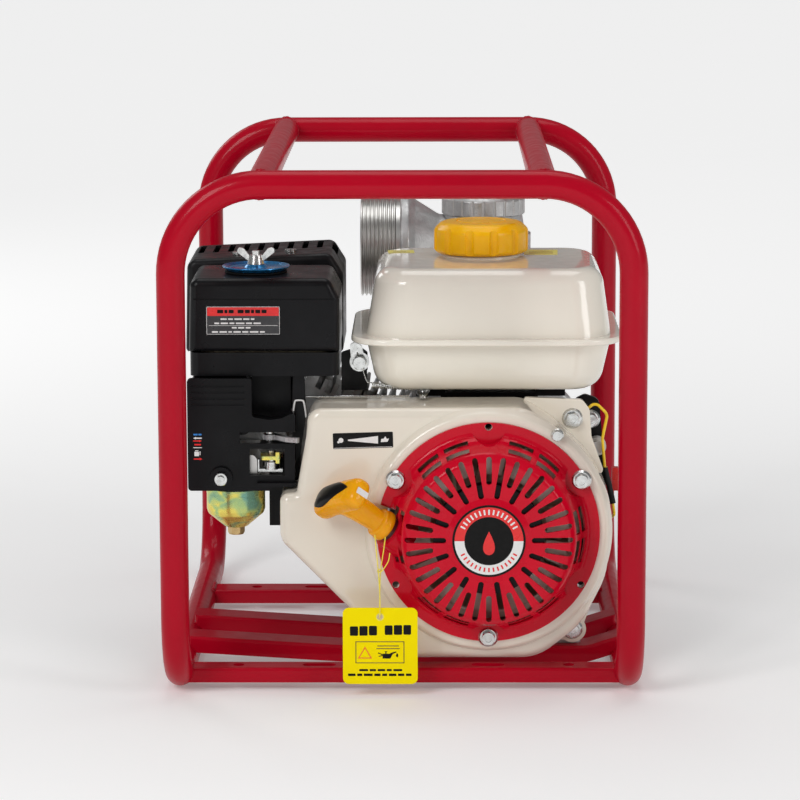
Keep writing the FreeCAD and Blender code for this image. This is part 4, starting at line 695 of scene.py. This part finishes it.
# ------------------------------------------------------------------ tag print
TY = -227.03
solids("tag_title_bars", [rr(-42.3, -35.8, 50.7, 58.4, 1.0), rr(-34.8, -28.2, 50.8, 58.6, 1.0), rr(-27.2, -20.8, 51.0, 58.8, 1.0), rr(-14.6, -8.4, 51.4, 59.2, 1.0), rr(-7.4, -0.8, 51.5, 59.4, 1.0), rr(0.2, 6.3, 51.6, 59.5, 1.0)], front(TY), 0.07, "print_black", "grip")


def frame_outline(x0, x1, z0, z1, w):
    return [rr(x0, x1, z1 - w, z1, 0.2, 1), rr(x0, x1, z0, z0 + w, 0.2, 1), rr(x0, x0 + w, z0, z1, 0.2, 1), rr(x1 - w, x1, z0, z1, 0.2, 1)]


solids("tag_frame", frame_outline(-38.0, 1.0, 28.2, 46.2, 0.75), front(TY), 0.05, "print_brown", "grip")


def tri(cx, cz, r, w):
    o = [(cx + r * math.cos(math.radians(a)), cz + r * math.sin(math.radians(a))) for a in (90, 210, 330)]
    i = [(cx + (r - w) * math.cos(math.radians(a)), cz + (r - w) * math.sin(math.radians(a))) for a in (90, 210, 330)]
    return [[o[k], o[(k + 1) % 3], i[(k + 1) % 3], i[k]] for k in range(3)]


solids("tag_triangle", tri(-30.4, 35.4, 6.6, 1.7), front(TY), 0.07, "print_orange", "grip")
can = [(-16.4, 33.4), (-10.2, 33.4), (-8.2, 37.2), (-5.4, 38.4), (-5.7, 39.2), (-9.0, 38.3), (-11.0, 37.3), (-13.2, 37.3), (-13.4, 38.6), (-12.4, 39.3), (-15.0, 39.3), (-14.1, 38.6), (-14.3, 37.3), (-16.4, 37.3)]
handle = [(-16.4, 36.9), (-19.8, 38.6), (-19.9, 37.4), (-18.0, 35.6), (-16.4, 35.8), (-16.4, 36.4), (-17.8, 36.3), (-19.0, 37.5), (-16.4, 36.5)]
drop = [(-4.8 + 1.0 * math.sin(a) * (1 if math.cos(a) < 0 else 0.75), 35.6 - 1.1 * math.cos(a) + (0.9 if math.cos(a) < -0.7 else 0)) for a in [2 * math.pi * k / 14 for k in range(14)]]
can = [(u_, v_ - 1.3) for u_, v_ in can]
drop = [(u_, v_ - 1.3) for u_, v_ in drop]
solids("tag_can", [can, drop, rr(-20.2, -16.2, 35.6, 36.4, 0.3, 2, -22), rr(-19.6, -16.2, 33.9, 34.6, 0.3, 2, 14)], front(TY), 0.07, "print_black", "grip")
bars = [rr(-20.6, -3.4, 42.0, 42.8, 0.3, 2), rr(-21.4, -2.6, 39.8, 40.6, 0.3, 2)]
solids("tag_caption", bars, front(TY), 0.05, "print_brown", "grip")
foot = []
x = -35.0
for w in (7, 5, 6, 4, 7):
    foot.append(rr(x, x + w, 21.8, 23.5, 0.4, 2)); x += w + 1.3
x = -44.0
for w in (6, 4, 7, 5, 4, 6, 5, 4.5):
    foot.append(rr(x, x + w, 17.8, 19.8, 0.4, 2)); x += w + 1.3
solids("tag_small_bars", foot, front(TY), 0.06, "print_black", "grip")
lathe("tag_eyelet", [(2.15, -0.08), (3.0, -0.08), (3.1, 0.0), (3.0, 0.12), (2.3, 0.16), (2.15, 0.05)], (-18.4, -227.02, 66), (0, -1, 0), "print_yellow", "grip", 32)

# ------------------------------------------------------------------ starter badge: plain rings and a drop
CX, CZ = 68.0, 128.8
Y0 = -233.02
ring_solid("badge_rim", CX, CZ, 27.2, 29.0, 0, 360, Y0, 0.12, "print_black", "unit")
ring_solid("badge_upper", CX, CZ, 19.4, 27.2, 0, 180, Y0, 0.10, "print_red", "unit")
ring_solid("badge_lower", CX, CZ, 19.4, 27.2, 180, 360, Y0, 0.10, "print_white", "unit")
solids("badge_centre", [disc(CX, CZ, 19.4, 72)], front(Y0), 0.12, "print_black", "unit")
dr = []
for k in range(40):
    a = 2 * math.pi * k / 40
    w = math.sin(a)
    dr.append((CX + 6.4 * w * (math.sin(a / 2) ** 1.3), CZ - 1.6 + 9.6 * math.cos(a)))
solids("badge_drop", [dr], front(Y0 - 0.12), 0.08, "print_red", "unit")
ticks, ticks2 = [], []
for k in range(15):
    a = math.radians(28 + 124 * k / 14)
    for lst, sgn, h in ((ticks, 1, 2.1), (ticks2, -1, 1.7)):
        c, s = math.cos(a), sgn * math.sin(a)
        r0, r1, w = 23.3 - h, 23.3 + h, 0.65
        lst.append([(CX + r0 * c - w * s, CZ + r0 * s + w * c), (CX + r1 * c - w * s, CZ + r1 * s + w * c), (CX + r1 * c + w * s, CZ + r1 * s - w * c), (CX + r0 * c + w * s, CZ + r0 * s - w * c)])
solids("badge_ticks_upper", ticks, front(Y0 - 0.10), 0.05, "print_white", "unit")
solids("badge_ticks_lower", ticks2, front(Y0 - 0.10), 0.05, "print_red", "unit")

# ------------------------------------------------------------------ fan ring seen through the slots
for k in range(14):
    ring_solid("fan_vane_%d" % k, CX, CZ, 47.0, 66.0, 25.714 * k, 25.714 * k + 17.5, -195.5, 1.5, "cream_case", "crank", n=8)
lathe("fan_ring", [(66.0, -197.0), (72.0, -190.5), (70.4, -190.5), (64.4, -197.0)], (CX, 0, CZ), (0, 1, 0), "cream_case", "crank", 72)

# painted shade: black sheets behind the carburettor and the panel, put where the gaps show only shade
solids("carb_shade_sheet", [[(-110.5, 119.0), (-84.5, 119.0), (-84.5, 178.0), (-110.5, 178.0)]], front(-123.6), 1.6, "black_plastic", "unit", bevel=0.3)
solids("elbow_shade_sheet", [[(-124.0, 205.0), (-92.0, 205.0), (-92.0, 258.0), (-124.0, 258.0)]], front(-126.0), 1.6, "black_plastic", "unit", bevel=0.3)

# ------------------------------------------------------------------ air cleaner label
AY = -155.03
solids("filter_label", [rr(-158.5, -99.2, 282.0, 304.9, 1.0)], front(AY), 0.10, "print_grey", "unit" if "air_cover" not in frame["bodies"] else "air_cover")
solids("filter_label_band", [rr(-157.7, -100.0, 297.2, 304.2, 0.7)], front(AY - 0.10), 0.06, "print_red", "air_cover")
t_ = []
x = -149.5
for w in (6, 3, 5, 0, 6, 5, 3, 5, 5):
    if w:
        t_.append(rr(x, x + w * 0.8, 299.4, 302.2, 0.4, 2))
    x += w * 0.8 + 1.0 if w else 2.2
solids("filter_label_title", t_, front(AY - 0.16), 0.04, "print_black", "air_cover")
t_ = []
for zc, x0, ws in ((294.6, -147, (5, 4, 6, 5, 3)), (291.2, -152, (4, 6, 4, 7, 5, 6)), (287.6, -138, (4, 5, 4)), (284.2, -154, (5, 6, 3, 6, 5, 7, 4))):
    x = x0
    for w in ws:
        t_.append(rr(x, x + w, zc - 0.65, zc + 0.65, 0.4, 2)); x += w + 1.1
solids("filter_label_lines", t_, front(AY - 0.10), 0.04, "print_white", "air_cover")
solids("filter_label_rule", [rr(-156.5, -101, 289.2, 289.5, 0.1, 1)] + frame_outline(-158.3, -99.4, 282.2, 304.7, 0.35), front(AY - 0.10), 0.03, "print_white", "air_cover")
# black gasket under the blue dish
lathe("filter_gasket", [(3.6, 327.06), (24.4, 327.06), (25.4, 327.5), (25.5, 328.2), (24.6, 328.6), (3.6, 328.6)], (-120.4, -110.0, 0), (0, 0, 1), "rubber", "air_cover")

# ------------------------------------------------------------------ speed wedge label on the fan cover
solids("speed_label", [rr(-56.0, -8.0, 195.6, 208.4, 0.9, 4, 1.6)], front(-191.03), 0.10, "print_black", "unit")
solids("speed_label_edge", [rr(-55.3, -8.7, 196.1, 196.45, 0.1, 1, 1.6)], front(-191.13), 0.03, "print_white", "unit")
wedge = [(-44.0, 201.6), (-20.0, 199.4), (-20.0, 205.6), (-44.0, 202.6)]
solids("speed_wedge", [wedge, disc(-49.6, 202.0, 2.0, 18), disc(-51.6, 200.6, 1.0, 12), [(-17.8, 200.6), (-12.4, 200.9), (-11.2, 203.6), (-13.0, 203.2), (-14.2, 205.4), (-15.6, 203.4), (-17.4, 203.2)]], front(-191.13), 0.05, "print_white", "unit")

# ------------------------------------------------------------------ control panel icons
PY = -166.02
arrow = lambda x0, x1, z, h, d: [(x0 if d > 0 else x1, z - h * 0.4), (x1 - 2 * d if d > 0 else x0 + 2, z - h * 0.4), (x1 - 2 if d > 0 else x0 + 2, z - h), (x1 if d > 0 else x0, z), (x1 - 2 if d > 0 else x0 + 2, z + h), (x1 - 2 if d > 0 else x0 + 2, z + h * 0.4), (x0 if d > 0 else x1, z + h * 0.4)]


def arrow_(x0, x1, z, h):
    return [(x0, z - h * 0.45), (x1 - 2.2, z - h * 0.45), (x1 - 2.2, z - h), (x1, z), (x1 - 2.2, z + h), (x1 - 2.2, z + h * 0.45), (x0, z + h * 0.45)]


def arrow_l(x0, x1, z, h):
    return [(x1, z - h * 0.45), (x0 + 2.2, z - h * 0.45), (x0 + 2.2, z - h), (x0, z), (x0 + 2.2, z + h), (x0 + 2.2, z + h * 0.45), (x1, z + h * 0.45)]


solids("icon_blue", [rr(-169.2, -165.8, 201.6, 202.9, 0.3, 2), rr(-165.2, -162.6, 201.6, 202.9, 0.3, 2)], front(PY), 0.05, "print_blue", "unit")
solids("icon_blue_arrow", [arrow_l(-169.4, -162.4, 199.3, 1.1)], front(PY), 0.05, "print_white", "unit")
solids("icon_red_arrow", [arrow_(-169.4, -162.4, 197.0, 1.0), rr(-168.6, -163.2, 193.4, 194.6, 0.3, 2), arrow_(-169.2, -162.2, 182.2, 1.1)], front(PY), 0.05, "print_red", "unit")
pump = [(-168.4, 184.8), (-164.8, 184.8), (-164.8, 189.4), (-168.4, 189.4)]
solids("icon_pump", [rr(-169.4, -162.4, 191.2, 191.8, 0.2, 1), rr(-168.6, -164.9, 184.6, 188.2, 0.4, 2), rr(-168.2, -165.3, 188.6, 189.3, 0.3, 2), rr(-164.4, -163.7, 185.4, 188.6, 0.3, 2)], front(PY), 0.05, "print_white", "unit")

# ------------------------------------------------------------------ tank labels
solids("tank_label_left", [rr(-14.0, 8.0, -38.0, -18.0, 0.6, 3, 3)], top(333.02), 0.06, "print_yellow", "unit")
solids("tank_label_left_bars", [rr(-10.0, 4.5, -34.5, -32.5, 0.3, 2, 3), rr(-9.5, 1.5, -29.5, -28, 0.3, 2, 3), rr(-9.5, 3.5, -25, -23.5, 0.3, 2, 3)], top(333.08), 0.03, "print_brown", "unit")
solids("tank_label_right", [rr(100.0, 128.0, -50.0, -16.0, 0.6, 3, -2)], top(333.02), 0.06, "print_yellow", "unit")
solids("tank_label_right_bars", [rr(104.0, 124.0, -28 - 5 * k, -26.4 - 5 * k, 0.3, 2, -2) for k in range(4)], top(333.08), 0.03, "print_brown", "unit")


# ------------------------------------------------------------------ weld beads
def ripple(i):
    return 1.0 + 0.10 * math.sin(i * 1.7) + 0.07 * math.sin(i * 0.61 + 1)


HY, ZT, R = 237.75, 411.75, 11.25
for sx in (-1, 1):
    for sy in (-1, 1):
        pts = []
        n = 96
        for k in range(n):
            a = 2 * math.pi * k / n
            dx, dz = (R - 0.9) * math.sin(a), (R - 0.9) * math.cos(a)
            pts.append((sx * 110.0 + dx, sy * (HY - abs(dx) - 0.6), ZT + dz))
        pipe("weld_top_%s%s" % ("lr"[sx > 0], "fb"[sy > 0]), pts, 2.0, "weld", "unit", n=8, closed=True, bumps=ripple)
for sx in (-1, 1):
    for tag_, y0, y1 in (("f", -204, -181), ("b", 75, 103)):
        pts = [(sx * 171.2, y0 + (y1 - y0) * k / 26, 18.3) for k in range(27)]
        pipe("weld_bar_%s%s" % ("lr"[sx > 0], tag_), pts, 1.9, "weld", "unit", n=8, bumps=ripple)
    for j, yc in enumerate((-131.0, -55.5)):
        pts = [(sx * 176.0, yc - 13 + k, 22.6) for k in range(27)]
        pipe("weld_rail_%s%d" % ("lr"[sx > 0], j), pts, 1.9, "weld", "unit", n=8, bumps=ripple)


# ------------------------------------------------------------------ small wires, springs and clips
def helix(p0, p1, r, turns, n=14):
    a, b = Vector(p0), Vector(p1)
    d = (b - a).normalized()
    u = d.orthogonal().normalized()
    w = d.cross(u)
    out = []
    m = int(turns * n)
    for i in range(m + 1):
        t = 2 * math.pi * i / n
        out.append(a + (b - a) * (i / m) + u * (r * math.cos(t)) + w * (r * math.sin(t)))
    return out


pipe("clip_wire", smoothed([(-89.8, -150.4, 213.5), (-89.0, -150.4, 220), (-88.0, -150.4, 226.2), (-86.6, -150.4, 227.4), (-82.2, -150.4, 227.4), (-80.8, -150.4, 226.2), (-79.6, -150.4, 220), (-78.9, -150.4, 213.5)], 4), 0.75, "print_white", "unit", n=8)
solids("elbow_stay", [[(-90.5, 182), (-86.5, 176), (-84.0, 182), (-79.0, 214), (-80.0, 247.5), (-89.5, 247.5), (-90.5, 214)]], front(-146.2), 1.8, "black_plastic", "unit", bevel=0.4)
hook = pipe("governor_spring", helix((-26, -136, 237.5), (8, -136, 235.5), 2.3, 26), 0.45, "zinc", "unit", n=6)
pipe("governor_spring_ends", smoothed([(-38, -126.4, 262.5), (-35, -131, 255), (-30, -136, 241), (-26, -136, 239.6)], 5), 0.45, "zinc", "unit", n=6)
pipe("governor_spring_hook", smoothed([(8, -136, 237.6), (12, -137, 236.5), (15, -140, 233.6), (15.6, -141, 231.9)], 5), 0.45, "zinc", "unit", n=6)

# ------------------------------------------------------------------ stage and light
FLOOR_DIP, FLOOR_FAR = 0.49, 0.68
bpy.ops.mesh.primitive_circle_add(vertices=96, radius=40, fill_type="NGON", location=(0, 0, 0))
floor = bpy.context.object
floor.name = "floor"
fm = bpy.data.materials.new("floor")
fm.use_nodes = True
nt = fm.node_tree
b = nt.nodes["Principled BSDF"]
tc = nd(nt, "ShaderNodeTexCoord")
n1 = nd(nt, "ShaderNodeTexNoise")
n1.inputs["Scale"].default_value = 1.5
nt.links.new(tc.outputs["Object"], n1.inputs["Vector"])
r1 = nd(nt, "ShaderNodeValToRGB")
r1.color_ramp.elements[0].color = (0.80, 0.80, 0.80, 1)
r1.color_ramp.elements[1].color = (0.82, 0.82, 0.82, 1)
nt.links.new(n1.outputs["Fac"], r1.inputs["Fac"])
nt.links.new(r1.outputs["Color"], b.inputs["Base Color"])
b.inputs["Roughness"].default_value = 0.9
b.inputs["Specular IOR Level"].default_value = 0.1
b.inputs["Emission Color"].default_value = (1, 1, 1, 1)
dt = nd(nt, "ShaderNodeVectorMath", operation="DOT_PRODUCT")
nt.links.new(tc.outputs["Object"], dt.inputs[0])
nt.links.new(tc.outputs["Object"], dt.inputs[1])
q1 = nd(nt, "ShaderNodeMath", operation="MULTIPLY_ADD")
q1.inputs[1].default_value, q1.inputs[2].default_value = 1 / 4.84, 1.0
nt.links.new(dt.outputs["Value"], q1.inputs[0])
q2 = nd(nt, "ShaderNodeMath", operation="POWER")
q2.inputs[1].default_value = -2.0
nt.links.new(q1.outputs[0], q2.inputs[0])
q3 = nd(nt, "ShaderNodeMath", operation="MULTIPLY_ADD")
q3.inputs[1].default_value, q3.inputs[2].default_value = -FLOOR_DIP, FLOOR_FAR
nt.links.new(q2.outputs[0], q3.inputs[0])
nt.links.new(q3.outputs[0], b.inputs["Emission Strength"])
floor.data.materials.append(fm)

w = bpy.data.worlds.new("studio")
sc.world = w
w.use_nodes = True
w.node_tree.nodes["Background"].inputs["Color"].default_value = (1, 1, 1, 1)
w.node_tree.nodes["Background"].inputs["Strength"].default_value = 0.22


def area(name, loc, target, sx, sy, power):
    l = bpy.data.lights.new(name, "AREA")
    l.shape = "RECTANGLE"
    l.size, l.size_y = sx, sy
    l.energy = power
    o = bpy.data.objects.new(name, l)
    sc.collection.objects.link(o)
    o.location = loc
    o.rotation_mode = "QUATERNION"
    o.rotation_quaternion = (Vector(target) - Vector(loc)).to_track_quat("-Z", "Y")
    return o


area("key", (-1.5, -2.3, 1.9), (0, 0, 0.2), 1.1, 1.3, 36)
area("fill", (2.1, -1.7, 1.2), (0, 0, 0.2), 0.8, 1.5, 17)
area("top", (0.1, 0.3, 2.2), (0, 0, 0.2), 1.4, 1.2, 12)
area("back", (-1.6, 1.9, 1.5), (0, 0, 0.25), 0.9, 1.2, 9)
sc.view_settings.view_transform = "Standard"
sc.view_settings.look = "None"
